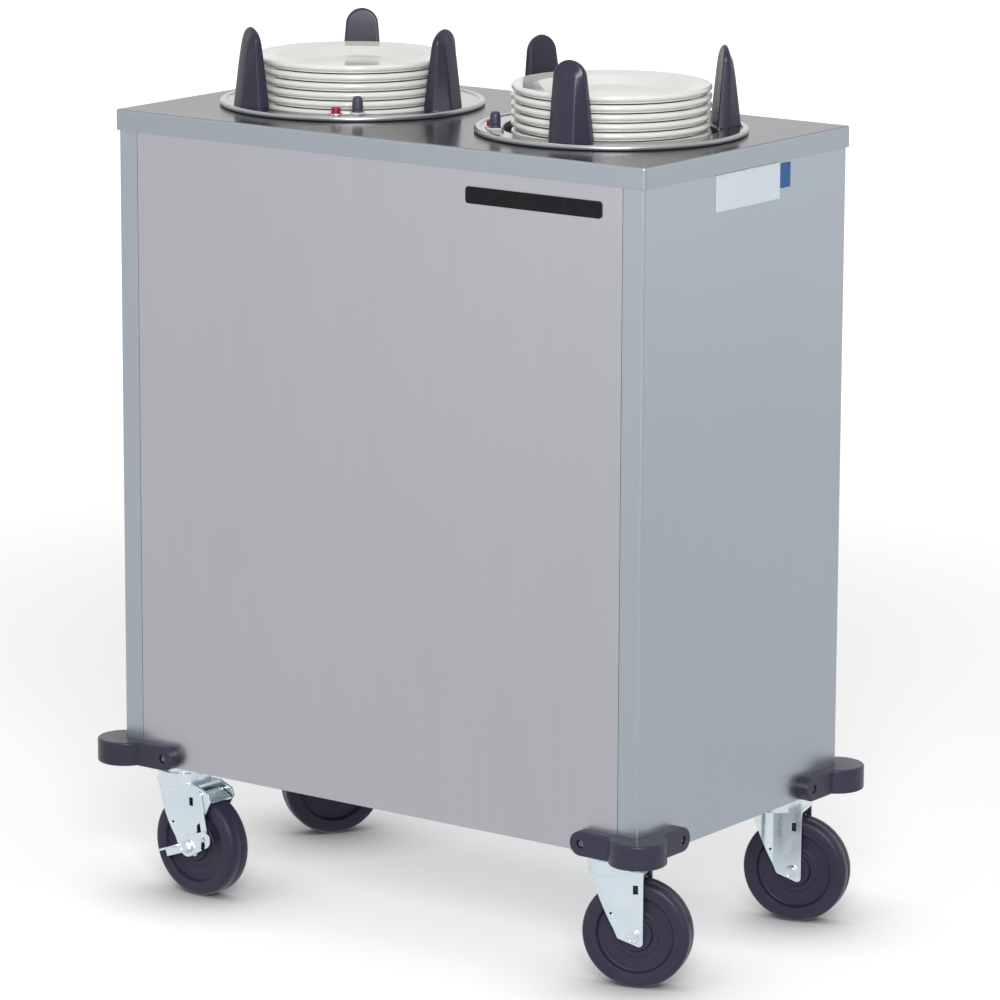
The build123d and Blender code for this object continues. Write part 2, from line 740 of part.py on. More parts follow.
# Each silo's own pieces, and the moving ones.
for side_name, silo in silo_planes.items():
    face = stack_proud[side_name] - plate_height - (plate_count - 1) * plate_pitch
    with BuildPart(silo) as flange:
        add(flange_master.part)
    save(flange, f"silo_flange_{side_name}")
    with BuildPart(silo) as posts:
        with PolarLocations(0, 3):
            with Locations((0, 0, flange_land)):
                add(post_master.part)
    save(posts, f"guide_posts_{side_name}")
    with BuildPart(silo) as tube:
        add(silo_tube(face))
    save(tube, f"silo_tube_{side_name}")
    with BuildPart(silo) as lift:
        add(carrier(face))
    save(lift, f"plate_carrier_{side_name}")
    with BuildPart(silo) as coils:
        add(springs(face))
    save(coils, f"carrier_springs_{side_name}")
    with BuildPart(silo) as boot:
        with PolarLocations(control_ring_radius, 1, start_angle=switch_angle):
            with Locations((0, 0, switch_pivot)):
                add(boot_master.part)
    save(boot, f"switch_boot_{side_name}")
    stack = [plate_master.part.moved(silo.location * Pos(0, 0, face + layer * plate_pitch))
             for layer in range(plate_count)]
    plates = Compound(label=f"plate_stack_{side_name}", children=stack)
    export_step(plates, f"parts/plate_stack_{side_name}.step")

# Like pieces of both silos share one node.
for node, master in (
    ("silo_bases", base_master),
    ("guide_rods", rod_master),
    ("post_screws", post_screw_master),
    ("switch_nuts", nut_master),
    ("switch_housings", switch_master),
    ("lamp_bezels", bezel_master),
    ("lamp_lenses", lens_master),
    ("heaters", heater_master),
    ("thermostats", thermostat_master),
):
    with BuildPart(*silo_planes.values()) as pair:
        add(master.part)
    save(pair, node)

# ================================================================== wiring and plates on the panels
with BuildPart() as terminal_box:
    with BuildSketch(Plane.XY.offset(pan_top)):
        RectangleRounded(box_size[0], box_size[1], box_corner)
    extrude(amount=box_size[2])
    with BuildSketch(Plane.XY.offset(pan_top)):
        Rectangle(box_size[0] - 2 * box_wall, box_size[1] - 2 * box_wall)
    extrude(amount=box_size[2] - box_wall, mode=Mode.SUBTRACT)
save(terminal_box, "terminal_box")

rear_face = Plane((gland_x, body_depth / 2, gland_z), x_dir=(-1, 0, 0), z_dir=(0, 1, 0))
with BuildPart() as cord_gland:
    with BuildSketch(rear_face):
        Circle(gland_flange)
    extrude(amount=gland_out)
    fillet(cord_gland.edges().sort_by(Axis.Y)[-1], gland_round)
    with BuildSketch(rear_face):
        Circle(gland_thread)
    extrude(amount=-gland_in)
    with BuildSketch(rear_face.offset(-panel_sheet)):
        RegularPolygon(gland_flange, 6, major_radius=False)
    extrude(amount=-gland_nut_height)
    with BuildSketch(rear_face.offset(gland_out)):
        Circle(gland_bore)
    extrude(amount=-gland_out - gland_in, mode=Mode.SUBTRACT)
save(cord_gland, "cord_gland")

front_face = Plane((0, -body_depth / 2, 0), x_dir=(1, 0, 0), z_dir=(0, -1, 0))
badge_x = (body_length - badge_length) / 2 - badge_inset
with BuildPart() as badge_plate:
    with BuildSketch(front_face):
        with Locations((badge_x, cap_top - badge_drop)):
            RectangleRounded(badge_length, badge_height, badge_corner)
    extrude(amount=badge_thickness)
    with BuildSketch(front_face.offset(badge_thickness)):
        with Locations((badge_x, cap_top - badge_drop)):
            RectangleRounded(
                badge_length - 2 * badge_rim, badge_height - 2 * badge_rim, badge_corner - badge_rim
            )
    extrude(amount=-badge_rim_lift, mode=Mode.SUBTRACT)
save(badge_plate, "badge_plate")

right_face = Plane((body_length / 2, 0, 0), x_dir=(0, 1, 0), z_dir=(1, 0, 0))
tag_y = (label_length + tag_length) / 2 + tag_gap
for node, middle_y, drop, length, height in (
    ("rating_plate", 0, label_drop, label_length, label_height),
    ("colour_tag", tag_y, tag_drop, tag_length, tag_height),
):
    with BuildPart() as label:
        with BuildSketch(right_face):
            with Locations((middle_y, cap_top - drop)):
                RectangleRounded(length, height, label_corner)
        extrude(amount=label_thickness)
    save(label, node)

# ================================================================== bumpers
# The master stands at the front right corner of the body, with one arm along each panel.
with BuildPart() as arm_master:
    with BuildSketch(Plane.XZ):
        with BuildLine():
            half_height = bumper_height / 2
            cap_middle = half_height - bumper_arm
            Polyline((cap_middle, half_height), (0, half_height), (0, -half_height),
                     (cap_middle, -half_height))
            CenterArc((cap_middle, 0), half_height, 90, 180)
        make_face()
    extrude(amount=bumper_thickness)
    fillet(arm_master.faces().sort_by(Axis.Y)[0].edges(), bumper_round)
    with Locations(Plane((-bumper_screw_reach, -bumper_thickness, 0), z_dir=(0, -1, 0))):
        CounterBoreHole(screw_shank_radius + screw_fit, screw_recess, 2 * screw_head_height)

with BuildPart() as bumper_master:
    with BuildSketch(Plane.XY.offset(-half_height)):
        Circle(bumper_nose)
    extrude(amount=bumper_height)
    fillet(bumper_master.edges().filter_by(GeomType.CIRCLE), bumper_round)
    with BuildSketch(Plane.XY.offset(-half_height)):
        with Locations((-bumper_nose, bumper_nose)):
            Rectangle(2 * bumper_nose, 2 * bumper_nose)
    extrude(amount=bumper_height, mode=Mode.SUBTRACT)
    add(arm_master.part)
    add(arm_master.part.mirror(Plane((0, 0, 0), z_dir=(1, 1, 0))))

for quarter, (corner_name, side, end) in enumerate(
    (("front_right", 1, -1), ("rear_right", 1, 1), ("rear_left", -1, 1), ("front_left", -1, -1))
):
    corner = Plane(
        (side * body_length / 2, end * body_depth / 2, bumper_middle),
        x_dir=(cos(quarter * pi / 2), sin(quarter * pi / 2), 0),
        z_dir=(0, 0, 1),
    )
    with BuildPart(corner) as bumper:
        add(bumper_master.part)
    save(bumper, f"bumper_{corner_name}")

with BuildPart() as bumper_screws:
    seat = bumper_thickness - 2 * screw_head_height
    for plane in screw_planes:
        with BuildSketch(plane.offset(seat)):
            Circle(screw_head_radius)
        extrude(amount=screw_head_height)
        with BuildSketch(plane.offset(seat)):
            Circle(screw_shank_radius)
        extrude(amount=-seat - screw_shank_length)
save(bumper_screws, "bumper_screws")

with BuildPart() as rear_panel_screws:
    for plane in rear_screw_planes:
        with BuildSketch(plane):
            Circle(screw_head_radius)
        extrude(amount=screw_head_height)
        with BuildSketch(plane):
            Circle(screw_shank_radius)
        extrude(amount=-screw_shank_length)
save(rear_panel_screws, "rear_panel_screws")

# ================================================================== casters
# Masters stand on the swivel axis with z = 0 on the floor. The wheel trails towards +X and its
# axle runs along Y, with the bolt's head and the brake on the -Y side.
swivels = {
    "front_left": (-swivel_x, -swivel_y),
    "front_right": (swivel_x, -swivel_y),
    "rear_left": (-swivel_x, swivel_y),
    "rear_right": (swivel_x, swivel_y),
}
axle_plane = Plane((trail, 0, wheel_radius), x_dir=(1, 0, 0), z_dir=(0, -1, 0))
shoe_plane = Plane((shoe_pivot[0], 0, shoe_pivot[1]), x_dir=(1, 0, 0), z_dir=(0, -1, 0))
swivel_plane = Plane((0, 0, 0), x_dir=(1, 0, 0), z_dir=(0, -1, 0))
crown_bottom = crown_top - crown_sheet
leg_inner = wheel_width / 2 + fork_sheet
leg_outer = leg_inner + fork_sheet
lever_stack = lever_gap + lever_boss_height + lever_sheet + lever_gap
plate_bottom = caster_height - caster_plate[2]
race_top = plate_bottom - race_plate_gap
king_top = crown_top + race_gap

with BuildPart() as caster_plates:
    with BuildSketch(Plane.XY.offset(plate_bottom)):
        with Locations(*swivels.values()):
            RectangleRounded(caster_plate[0], caster_plate[1], plate_corner)
            with GridLocations(*plate_hole_spacing, 2, 2):
                Circle(bolt_radius + hole_clearance, mode=Mode.SUBTRACT)
    extrude(amount=caster_plate[2])
    with BuildSketch(Plane.XY.offset(king_top)):
        with Locations(*swivels.values()):
            Circle(race_radius - race_wall - race_gap)
    extrude(amount=plate_bottom - king_top)
save(caster_plates, "caster_plates")

with BuildPart() as king_pins:
    with BuildSketch(Plane.XY.offset(king_top)):
        with Locations(*swivels.values()):
            Circle(king_radius)
    extrude(amount=-crown_sheet - 2 * race_gap)
    with BuildSketch(Plane.XY.offset(crown_bottom - race_gap)):
        with Locations(*swivels.values()):
            Circle(king_head_radius)
    extrude(amount=-king_head_height)
save(king_pins, "king_pins")

with BuildPart() as caster_bolts:
    with Locations(*swivels.values()):
        with GridLocations(*plate_hole_spacing, 2, 2):
            with Locations((0, 0, plate_bottom)):
                Cylinder(bolt_radius, caster_plate[2] + rail_sheet + bolt_head_height,
                         align=(Align.CENTER, Align.CENTER, Align.MIN))
    with BuildSketch(Plane.XY.offset(plate_bottom), Plane.XY.offset(
            panel_bottom + rail_sheet + bolt_head_height)):
        with Locations(*swivels.values()):
            with GridLocations(*plate_hole_spacing, 2, 2):
                RegularPolygon(bolt_head_radius, 6)
    extrude(amount=-bolt_head_height)
save(caster_bolts, "caster_bolts")


def fork(with_brake):
    """Swivel fork: crown, raised race and two tapered legs, each with a pressed rib."""
    rear = trail + leg_rear
    ears = [(rear + reach, crown_top + rise) for reach, rise in ear_outline]
    with BuildPart() as legs:
        with BuildSketch():
            with Locations((rib_u, leg_outer + fork_rib - rib_radius)):
                Circle(rib_radius)
            with Locations((rib_u, leg_inner + rib_radius)):
                Rectangle(2 * rib_radius, 2 * rib_radius, mode=Mode.INTERSECT)
            with Locations((0, (leg_inner + leg_outer) / 2)):
                Rectangle(5 * race_radius, fork_sheet)
            mirror(about=Plane.XZ)
        extrude(amount=crown_top)
        with BuildSketch(Plane.XZ):
            with BuildLine():
                Polyline(
                    (-leg_front, crown_top),
                    (trail - leg_toe, wheel_radius - leg_toe_drop),
                    (trail + leg_rear / 2, wheel_radius - leg_tip),
                    (rear, wheel_radius - leg_tip),
                    *(ears if with_brake else ()),
                    (rear, crown_top),
                    close=True,
                )
            make_face()
        extrude(amount=2 * leg_outer, both=True, mode=Mode.INTERSECT)
        low_edges = legs.edges().filter_by(Axis.Y).filter_by_position(Axis.Z, 0, wheel_radius)
        fillet(low_edges, leg_corner)
        with BuildSketch(Plane.XY.offset(crown_bottom)):
            Circle(race_radius)
            with Locations((rear / 2, 0)):
                Rectangle(rear, 2 * leg_outer)
        extrude(amount=crown_sheet)
        with BuildSketch(Plane.XY.offset(crown_top)):
            Circle(race_radius)
            Circle(race_radius - race_wall, mode=Mode.SUBTRACT)
        extrude(amount=race_top - crown_top)
        with BuildSketch(Plane.XY.offset(crown_bottom)):
            Circle(king_radius + king_fit)
        extrude(amount=crown_sheet, mode=Mode.SUBTRACT)
        with BuildSketch(swivel_plane):
            with Locations((trail, wheel_radius)):
                Circle(axle_radius + screw_fit)
            with Locations(slot_place):
                Rectangle(*slot_size)
            with Locations(vent_place):
                Circle(leg_vent_radius)
            if with_brake:
                with Locations(shoe_pivot):
                    Circle(shoe_pin_radius + screw_fit)
        extrude(amount=2 * leg_outer, both=True, mode=Mode.SUBTRACT)
    return legs.part


def axle(with_brake):
    """Axle bolt with its nut; on a braked caster the head stands outside the lever."""
    head_seat = leg_outer + (lever_stack if with_brake else 0)
    with BuildPart() as bolt:
        with BuildSketch(axle_plane.offset(head_seat)):
            RegularPolygon(axle_head_across / 2, 6, major_radius=False)
        extrude(amount=axle_head_height)
        with BuildSketch(axle_plane.offset(-leg_outer)):
            RegularPolygon(axle_head_across / 2, 6, major_radius=False)
        extrude(amount=-axle_head_height)
        with BuildSketch(axle_plane.offset(head_seat)):
            Circle(axle_radius)
        extrude(amount=-head_seat - leg_outer - axle_head_height)
    return bolt.part


# Wheel with shouldered tread, recessed web and long hub, centred on its axle.
with BuildPart() as wheel_master:
    hub_half = leg_inner - hub_gap
    tread_half = wheel_width / 2
    web_half = tread_half - wheel_web_recess
    hub_face = tread_half - hub_step
    flat_half = tread_half - wheel_shoulder
    band_radius = wheel_radius - wheel_shoulder
    with BuildSketch(Plane.YZ):
        with BuildLine():
            for side in (-1, 1):
                Polyline(
                    (side * hub_half, axle_radius + axle_fit),
                    (side * hub_half, sleeve_end_radius),
                    (side * hub_face, sleeve_end_radius + 2 * hub_step),
                    (side * hub_face, wheel_hub_radius),
                    (side * (web_half + hub_step), wheel_hub_radius + 2 * hub_step),
                    (side * (web_half + hub_step), wheel_boss_radius - hub_step),
                    (side * web_half, wheel_boss_radius),
                    (side * web_half, wheel_band - 3 * hub_step),
                    (side * tread_half, wheel_band),
                    (side * tread_half, band_radius),
                )
                CenterArc((side * flat_half, band_radius), wheel_shoulder, 45 - 45 * side, 90)
            Line((-hub_half, axle_radius + axle_fit), (hub_half, axle_radius + axle_fit))
            Line((-flat_half, wheel_radius), (flat_half, wheel_radius))
        make_face()
    revolve(axis=Axis.Y)

# The lever turns on the axle bolt outside the fork; its pad bends outwards.
with BuildPart() as lever_master:
    with BuildSketch(axle_plane.offset(leg_outer + lever_gap)):
        Circle(lever_boss_radius)
    extrude(amount=lever_boss_height)
    lever_plane = axle_plane.offset(leg_outer + lever_gap + lever_boss_height)
    with BuildSketch(lever_plane) as lever_outline:
        Circle(lever_hub_radius)
        with Locations(lobe_place):
            Circle(lobe_radius)
        make_hull(lever_outline.edges())
        with Locations(Location((0, 0), lever_droop)):
            with Locations((-lever_arm / 2, 0)):
                Rectangle(lever_arm, lever_arm_width)
    extrude(amount=lever_sheet)
    with BuildSketch(lever_plane):
        with Locations(Location((0, 0), lever_droop)):
            with Locations((pad_length / 2 - lever_arm, (lever_arm_width - lever_sheet) / 2)):
                Rectangle(pad_length, lever_sheet)
    extrude(amount=lever_sheet + pad_reach)
    with BuildSketch(axle_plane.offset(leg_outer)) as link_slot:
        with Locations(lobe_place, link_slot_end):
            Circle(link_slot_radius)
        make_hull(link_slot.edges())
        Circle(axle_radius + axle_fit)
    extrude(amount=lever_stack, mode=Mode.SUBTRACT)

# The shoe hangs over the tread on its pin; a link tab with a pin takes it to the lever's slot.
link_place = (trail + lobe_place[0] - shoe_pivot[0], wheel_radius + lobe_place[1] - shoe_pivot[1])
with BuildPart() as shoe_master:
    with BuildSketch(shoe_plane):
        Circle(shoe_barrel_radius)
        with Locations((shoe_length / 2 * cos(radians(shoe_slope)),
                        -shoe_length / 2 * sin(radians(shoe_slope)))):
            Rectangle(shoe_length, shoe_sheet, rotation=-shoe_slope)
    extrude(amount=shoe_half_width, both=True)
    with BuildSketch(shoe_plane.offset(-leg_outer - lever_gap)):
        Circle(shoe_pin_radius)
    extrude(amount=2 * (leg_outer + lever_gap))
    with BuildSketch(shoe_plane.offset(leg_outer + lever_gap)) as link_outline:
        Circle(link_width / 2)
        with Locations(link_place):
            Circle(link_width / 2)
        make_hull(link_outline.edges())
    extrude(amount=link_sheet)
    with BuildSketch(shoe_plane.offset(leg_outer + lever_gap)):
        with Locations(link_place):
            Circle(link_pin_radius)
    extrude(amount=lever_stack)

for corner_name, (swivel_at_x, swivel_at_y) in swivels.items():
    turn = radians(caster_turn[corner_name])
    caster = Plane(
        (swivel_at_x, swivel_at_y, 0), x_dir=(cos(turn), sin(turn), 0), z_dir=(0, 0, 1)
    )
    with_brake = corner_name in braked
    with BuildPart(caster) as caster_fork:
        add(fork(with_brake))
    save(caster_fork, f"caster_fork_{corner_name}")
    with BuildPart(caster) as caster_axle:
        add(axle(with_brake))
    save(caster_axle, f"caster_axle_{corner_name}")
    with BuildPart(caster) as caster_wheel:
        with Locations((trail, 0, wheel_radius)):
            add(wheel_master.part)
    save(caster_wheel, f"caster_wheel_{corner_name}")
    if with_brake:
        with BuildPart(caster) as brake_lever:
            add(lever_master.part)
        save(brake_lever, f"brake_lever_{corner_name}")
        with BuildPart(caster) as brake_shoe:
            add(shoe_master.part)
        save(brake_shoe, f"brake_shoe_{corner_name}")
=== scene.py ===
"""Plate dispenser cart: finishes, moulded pieces and studio, laid out as a Blender add-on.

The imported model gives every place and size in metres, with +Z up and the front panel facing
-Y. Each operator dresses one group of pieces; the last one builds the studio.
"""

import json
from math import cos, pi, radians, sin, sqrt, tan

import bmesh
import bpy
from mathutils import Matrix, Vector


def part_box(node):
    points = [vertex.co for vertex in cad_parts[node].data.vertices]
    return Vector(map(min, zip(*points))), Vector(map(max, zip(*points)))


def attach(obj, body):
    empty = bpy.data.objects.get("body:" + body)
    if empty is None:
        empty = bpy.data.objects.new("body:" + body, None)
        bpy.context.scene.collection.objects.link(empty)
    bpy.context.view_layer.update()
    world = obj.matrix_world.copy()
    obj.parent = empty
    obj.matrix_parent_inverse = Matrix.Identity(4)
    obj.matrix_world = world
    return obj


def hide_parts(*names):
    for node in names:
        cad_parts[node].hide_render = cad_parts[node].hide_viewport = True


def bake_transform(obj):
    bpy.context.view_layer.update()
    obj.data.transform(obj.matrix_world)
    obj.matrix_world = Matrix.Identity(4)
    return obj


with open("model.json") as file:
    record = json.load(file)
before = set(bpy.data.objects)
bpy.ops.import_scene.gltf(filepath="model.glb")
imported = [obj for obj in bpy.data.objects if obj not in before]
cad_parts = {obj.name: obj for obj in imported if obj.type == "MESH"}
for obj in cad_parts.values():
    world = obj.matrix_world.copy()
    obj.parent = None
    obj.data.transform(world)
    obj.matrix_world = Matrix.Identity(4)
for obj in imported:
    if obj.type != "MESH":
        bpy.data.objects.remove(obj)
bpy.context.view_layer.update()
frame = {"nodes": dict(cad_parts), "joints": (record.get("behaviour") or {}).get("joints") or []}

bl_info = {
    "name": "Plate Dispenser Cart",
    "version": (1, 0, 0),
    "blender": (4, 5, 0),
    "location": "View3D > Sidebar > Cart",
    "description": "Dresses a two-silo plate dispenser cart and lights it in a studio",
    "category": "Object",
}

SIDES = ("left", "right")
CORNERS = ("front_left", "front_right", "rear_left", "rear_right")
BRAKED = ("front_left", "rear_left")
WHITE = (1, 1, 1, 1)
BLACK_PLASTIC = ((0.02, 0.02, 0.022), (0.03, 0.03, 0.033))
NOISE_LOW, NOISE_HIGH = 0.3, 0.7

# Mesh steps
RING_STEPS = 96
ROUND_STEPS = 5
COIL_STEPS = 20
WIRE_SIDES = 8
WELD = 0.000001
SHARP_ANGLE = radians(40)

# Screws and springs, in metres
SCREW_HEAD = 0.0024
SCREW_SHANK = 0.0024
SPRING_WIRE = 0.002
SPRING_TURNS = 40

# Guide posts: lean of the tip and round join of border and panel, in metres; shares of the border
POSTS_PER_SILO = 3
POST_LEAN = 0.0096
POST_JOIN = 0.0016
POST_LEG_STEPS, POST_ARC_STEPS = 26, 36
POST_WELD = 0.00002
POST_SHARP_ANGLE = radians(50)
BORDER_TAPER = 0.32
BORDER_SHOULDER = 0.68
BORDER_TIP = 0.54
BORDER_END = 1.12
EDGE_STEPS = (0.0, 0.12, 0.3, 0.6, 1.0)
BORDER_STEPS = (0.35, 0.65, 0.88, 0.96, 1.0, 1.04, BORDER_END)

# Switch boot between its foot and its dome: share of the full radius, height, round
BOOT_END = 0.86
BOOT_STEPS = (
    (1.0, -0.0004, 0.0006),
    (1.0, 0.0012, 0.0005),
    (0.9, 0.0019, 0.0004),
    (0.9, 0.0034, 0.0008),
    (0.97, 0.0048, 0.001),
)

# Axle bolt and wheel, in metres
AXLE_RADIUS = 0.005
AXLE_HEAD = 0.0052
BOLT_FLANGE = 0.0084
BOLT_HEXAGON = 0.0074
BORE_GAP = 0.0002
SLEEVE_RADIUS = 0.0085
HUB_RADIUS = 0.0110
WHEEL_TREAD = 0.016
TREAD_ROUND = 0.0080
SEAM_HALF_WIDTH = 0.0007
SEAM_DEPTH = 0.0005
# Side of the wheel from its hub to the lip of the tread: radius, reach from the middle, round
WHEEL_STEPS = (
    (0.0130, 0.0150, 0.0010),
    (0.0190, 0.0150, 0.0012),
    (0.0210, 0.0105, 0.0010),
    (0.0270, 0.0105, 0.0008),
    (0.0280, 0.0095, 0.0008),
    (0.0440, 0.0095, 0.0025),
    (0.0462, 0.0158, 0.0009),
)

# Floor: reflectance in the open and in the contact shadow, and the lift's reach in metres
FLOOR_PAPER = 0.79
FLOOR_CONTACT = 0.35
CONTACT_POWER = 1.8
CONTACT_SAMPLES = 12
LIFT_START, LIFT_END = 1.2, 4.0
LIFT_FAR = 0.85

# Softboxes: name, place, target, size, the stage setting with its power, and the share of it
SOFTBOXES = (
    ("key_softbox", (2.8, -3.6, 2.6), (0, 0, 0.55), (1.6, 1.6), "key_power", 1),
    ("top_softbox", (-0.3, 0.2, 3.4), (0, 0, 0.55), (2.2, 1.8), "top_power", 1),
    ("left_softbox", (-2.0, -5.0, 0.9), (0.2, 0, 0.5), (1.7, 2.6), "side_power", 2),
    ("right_softbox", (3.4, 3.7, 0.9), (0.3, 0, 0.5), (1.8, 2.2), "side_power", 1),
)


# ---------------------------------------------------------------- places taken from the frame
def middle(node):
    """Centre of a node's box at rest."""
    low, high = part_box(node)
    return (low + high) / 2


def silo_axis(side):
    """Point on a silo's axis at the cap's top."""
    place = middle(f"silo_flange_{side}")
    place.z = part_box("top_cap")[1].z
    return place


def joint(name):
    """A joint of the record."""
    return next(entry for entry in frame["joints"] if entry["name"] == name)


def span(node, place, axis):
    """Lowest and highest reach of a node along an axis through place."""
    reaches = [(v.co - place).dot(axis) for v in frame["nodes"][node].data.vertices]
    return min(reaches), max(reaches)


def islands(node):
    """Boxes of the separate solids in a node, as (low, high) corners."""
    bm = bmesh.new()
    bm.from_mesh(frame["nodes"][node].data)
    bmesh.ops.remove_doubles(bm, verts=bm.verts, dist=WELD)
    left = set(bm.verts)
    boxes = []
    while left:
        reached = {left.pop()}
        border = list(reached)
        while border:
            vertex = border.pop()
            for edge in vertex.link_edges:
                other = edge.other_vert(vertex)
                if other in left:
                    left.remove(other)
                    reached.add(other)
                    border.append(other)
        low = Vector([min(v.co[i] for v in reached) for i in range(3)])
        high = Vector([max(v.co[i] for v in reached) for i in range(3)])
        boxes.append((low, high))
    bm.free()
    return sorted(boxes, key=lambda box: tuple(round(value, 3) for value in box[0]))


# ---------------------------------------------------------------- node materials
def feed(tree, value, socket):
    """Links another node's socket to this one, or sets a plain value on it."""
    if isinstance(value, bpy.types.NodeSocket):
        tree.links.new(value, socket)
    else:
        socket.default_value = value


def add_node(tree, kind, settings=None, **inputs):
    """Adds a node; settings are its properties, inputs its sockets by name or links to them."""
    node = tree.nodes.new(kind)
    for key, value in (settings or {}).items():
        setattr(node, key, value)
    for key, value in inputs.items():
        feed(tree, value, node.inputs[key.replace("_", " ")])
    return node


def calculate(tree, operation, *values):
    """Result of a Math node over numbers or sockets."""
    node = add_node(tree, "ShaderNodeMath", {"operation": operation})
    for value, socket in zip(values, node.inputs):
        feed(tree, value, socket)
    return node.outputs[0]


def remap(tree, value, start, end, low, high, **settings):
    """Maps start..end onto low..high, which may be sockets."""
    ends = {"From_Min": start, "From_Max": end, "To_Min": low, "To_Max": high}
    return add_node(tree, "ShaderNodeMapRange", settings, Value=value, **ends).outputs["Result"]


def mix_shaders(tree, factor, first, second):
    """First shader where factor is 0, second where it is 1."""
    node = tree.nodes.new("ShaderNodeMixShader")
    for value, socket in zip((factor, first, second), node.inputs):
        feed(tree, value, socket)
    return node.outputs[0]


def new_material(name, colour, roughness, **sockets):
    """A node material whose plain values sit on the shader's own sockets."""
    material = bpy.data.materials.new(name)
    material.use_nodes = True
    shader = material.node_tree.nodes["Principled BSDF"]
    shader.inputs["Base Color"].default_value = (*colour, 1.0)
    shader.inputs["Roughness"].default_value = roughness
    for key, value in sockets.items():
        shader.inputs[key.replace("_", " ")].default_value = value
    return material, material.node_tree, shader


def row_coordinates(tree, scale):
    """Coordinates in the cart's frame, stretched by scale along each axis."""
    place = add_node(tree, "ShaderNodeTexCoord")
    return add_node(
        tree, "ShaderNodeMapping", Vector=place.outputs["Object"], Scale=scale
    ).outputs["Vector"]


def noise(tree, scale, detail=3.0, stretch=(1, 1, 1)):
    """Noise value between 0 and 1 over the cart's frame."""
    return add_node(
        tree,
        "ShaderNodeTexNoise",
        Vector=row_coordinates(tree, stretch),
        Scale=scale,
        Detail=detail,
    ).outputs["Fac"]


def spread(tree, value, low, high):
    """Maps the range that holds most of a noise onto low to high."""
    return remap(tree, value, NOISE_LOW, NOISE_HIGH, low, high)


def blend_colours(tree, factor, first, second):
    """Mixes two colours, given as values or sockets."""
    node = tree.nodes.new("ShaderNodeMix")
    node.data_type = "RGBA"
    tree.links.new(factor, node.inputs[0])
    for socket, colour in ((node.inputs[6], first), (node.inputs[7], second)):
        plain = not isinstance(colour, bpy.types.NodeSocket)
        feed(tree, (*colour, 1.0) if plain else colour, socket)
    return node.outputs[2]


def scaled(colour, factor):
    """A darker or paler version of a colour."""
    return tuple(channel * factor for channel in colour)


def rounded_normal(tree, shader, radius, height, strength, distance):
    """Softens sharp edges and adds bump from a height value."""
    edge = add_node(tree, "ShaderNodeBevel", {"samples": 4}, Radius=radius).outputs["Normal"]
    bump = add_node(
        tree,
        "ShaderNodeBump",
        Height=height,
        Strength=strength,
        Distance=distance,
        Normal=edge,
    ).outputs["Normal"]
    tree.links.new(bump, shader.inputs["Normal"])


def brushed_steel(name, colour, roughness, grain, grain_depth, edge=0.0006):
    """Satin stainless with a directional grain; grain is the stretch of its noise."""
    material, tree, shader = new_material(name, colour, roughness, Metallic=1.0)
    streaks = noise(tree, 1.0, 4.0, grain)
    clouds = noise(tree, 5.0, 2.0)
    tone = blend_colours(
        tree, spread(tree, streaks, 0.0, 1.0), scaled(colour, 0.975), scaled(colour, 1.025)
    )
    tone = blend_colours(tree, spread(tree, clouds, 0.0, 0.35), tone, scaled(colour, 1.05))
    tree.links.new(tone, shader.inputs["Base Color"])
    tree.links.new(
        spread(tree, streaks, roughness - 0.04, roughness + 0.05), shader.inputs["Roughness"]
    )
    rounded_normal(tree, shader, edge, streaks, grain_depth, 0.0002)
    return material


def polished_steel(name, top_colour, side_colour, roughness, grain, edge_tint=1.0):
    """Cap and flanges: a polished upper face, and sides with the panels' satin finish; a top colour
    darker than the sides is painted shade for the polished face's dark reflection.

    An edge_tint below 1 keeps the metal from turning white where it is seen at a low angle.
    """
    tint = (edge_tint, edge_tint, edge_tint, 1.0)
    material, tree, shader = new_material(
        name, top_colour, roughness, Metallic=1.0, Specular_Tint=tint
    )
    facing = add_node(
        tree,
        "ShaderNodeSeparateXYZ",
        Vector=add_node(tree, "ShaderNodeNewGeometry").outputs["Normal"],
    ).outputs["Z"]
    upper = remap(tree, facing, 0.5, 0.9, 0.0, 1.0, clamp=True)
    smears = noise(tree, 3.5, 3.0)
    streaks = noise(tree, 1.0, 4.0, grain)
    top = blend_colours(
        tree, spread(tree, smears, 0.0, 1.0), scaled(top_colour, 0.93), scaled(top_colour, 1.07)
    )
    side = blend_colours(
        tree, spread(tree, streaks, 0.0, 1.0), scaled(side_colour, 0.98), scaled(side_colour, 1.02)
    )
    # Upper faces take the top colour: the polish is real, and on the cap the top's darker colour is
    # painted shade
    tree.links.new(blend_colours(tree, upper, side, top), shader.inputs["Base Color"])
    satin = spread(tree, streaks, 0.30, 0.38)
    glossy = spread(tree, smears, roughness - 0.03, roughness + 0.05)
    tree.links.new(remap(tree, upper, 0.0, 1.0, satin, glossy), shader.inputs["Roughness"])
    rounded_normal(tree, shader, 0.0006, streaks, 0.03, 0.0002)
    return material


def zinc_plate(name, colour, tint):
    """Bright zinc with the faint blue and straw patches of its passivation."""
    material, tree, shader = new_material(name, colour, 0.3, Metallic=1.0)
    patches = noise(tree, 24.0, 3.0)
    marks = noise(tree, 1.0, 3.0, (90, 90, 30))
    tone = blend_colours(tree, spread(tree, patches, 0.0, 1.0), colour, tint)
    tree.links.new(tone, shader.inputs["Base Color"])
    tree.links.new(spread(tree, marks, 0.22, 0.34), shader.inputs["Roughness"])
    rounded_normal(tree, shader, 0.0011, marks, 0.05, 0.0003)
    return material


def bright_metal(name, colour, roughness):
    """Plated fasteners and bezels."""
    material, tree, shader = new_material(name, colour, roughness, Metallic=1.0)
    grain = noise(tree, 600.0, 2.0)
    tree.links.new(
        spread(tree, grain, roughness - 0.05, roughness + 0.06), shader.inputs["Roughness"]
    )
    tone = blend_colours(
        tree, spread(tree, noise(tree, 60.0), 0.0, 1.0), scaled(colour, 0.93), colour
    )
    tree.links.new(tone, shader.inputs["Base Color"])
    rounded_normal(tree, shader, 0.0004, grain, 0.03, 0.0002)
    return material


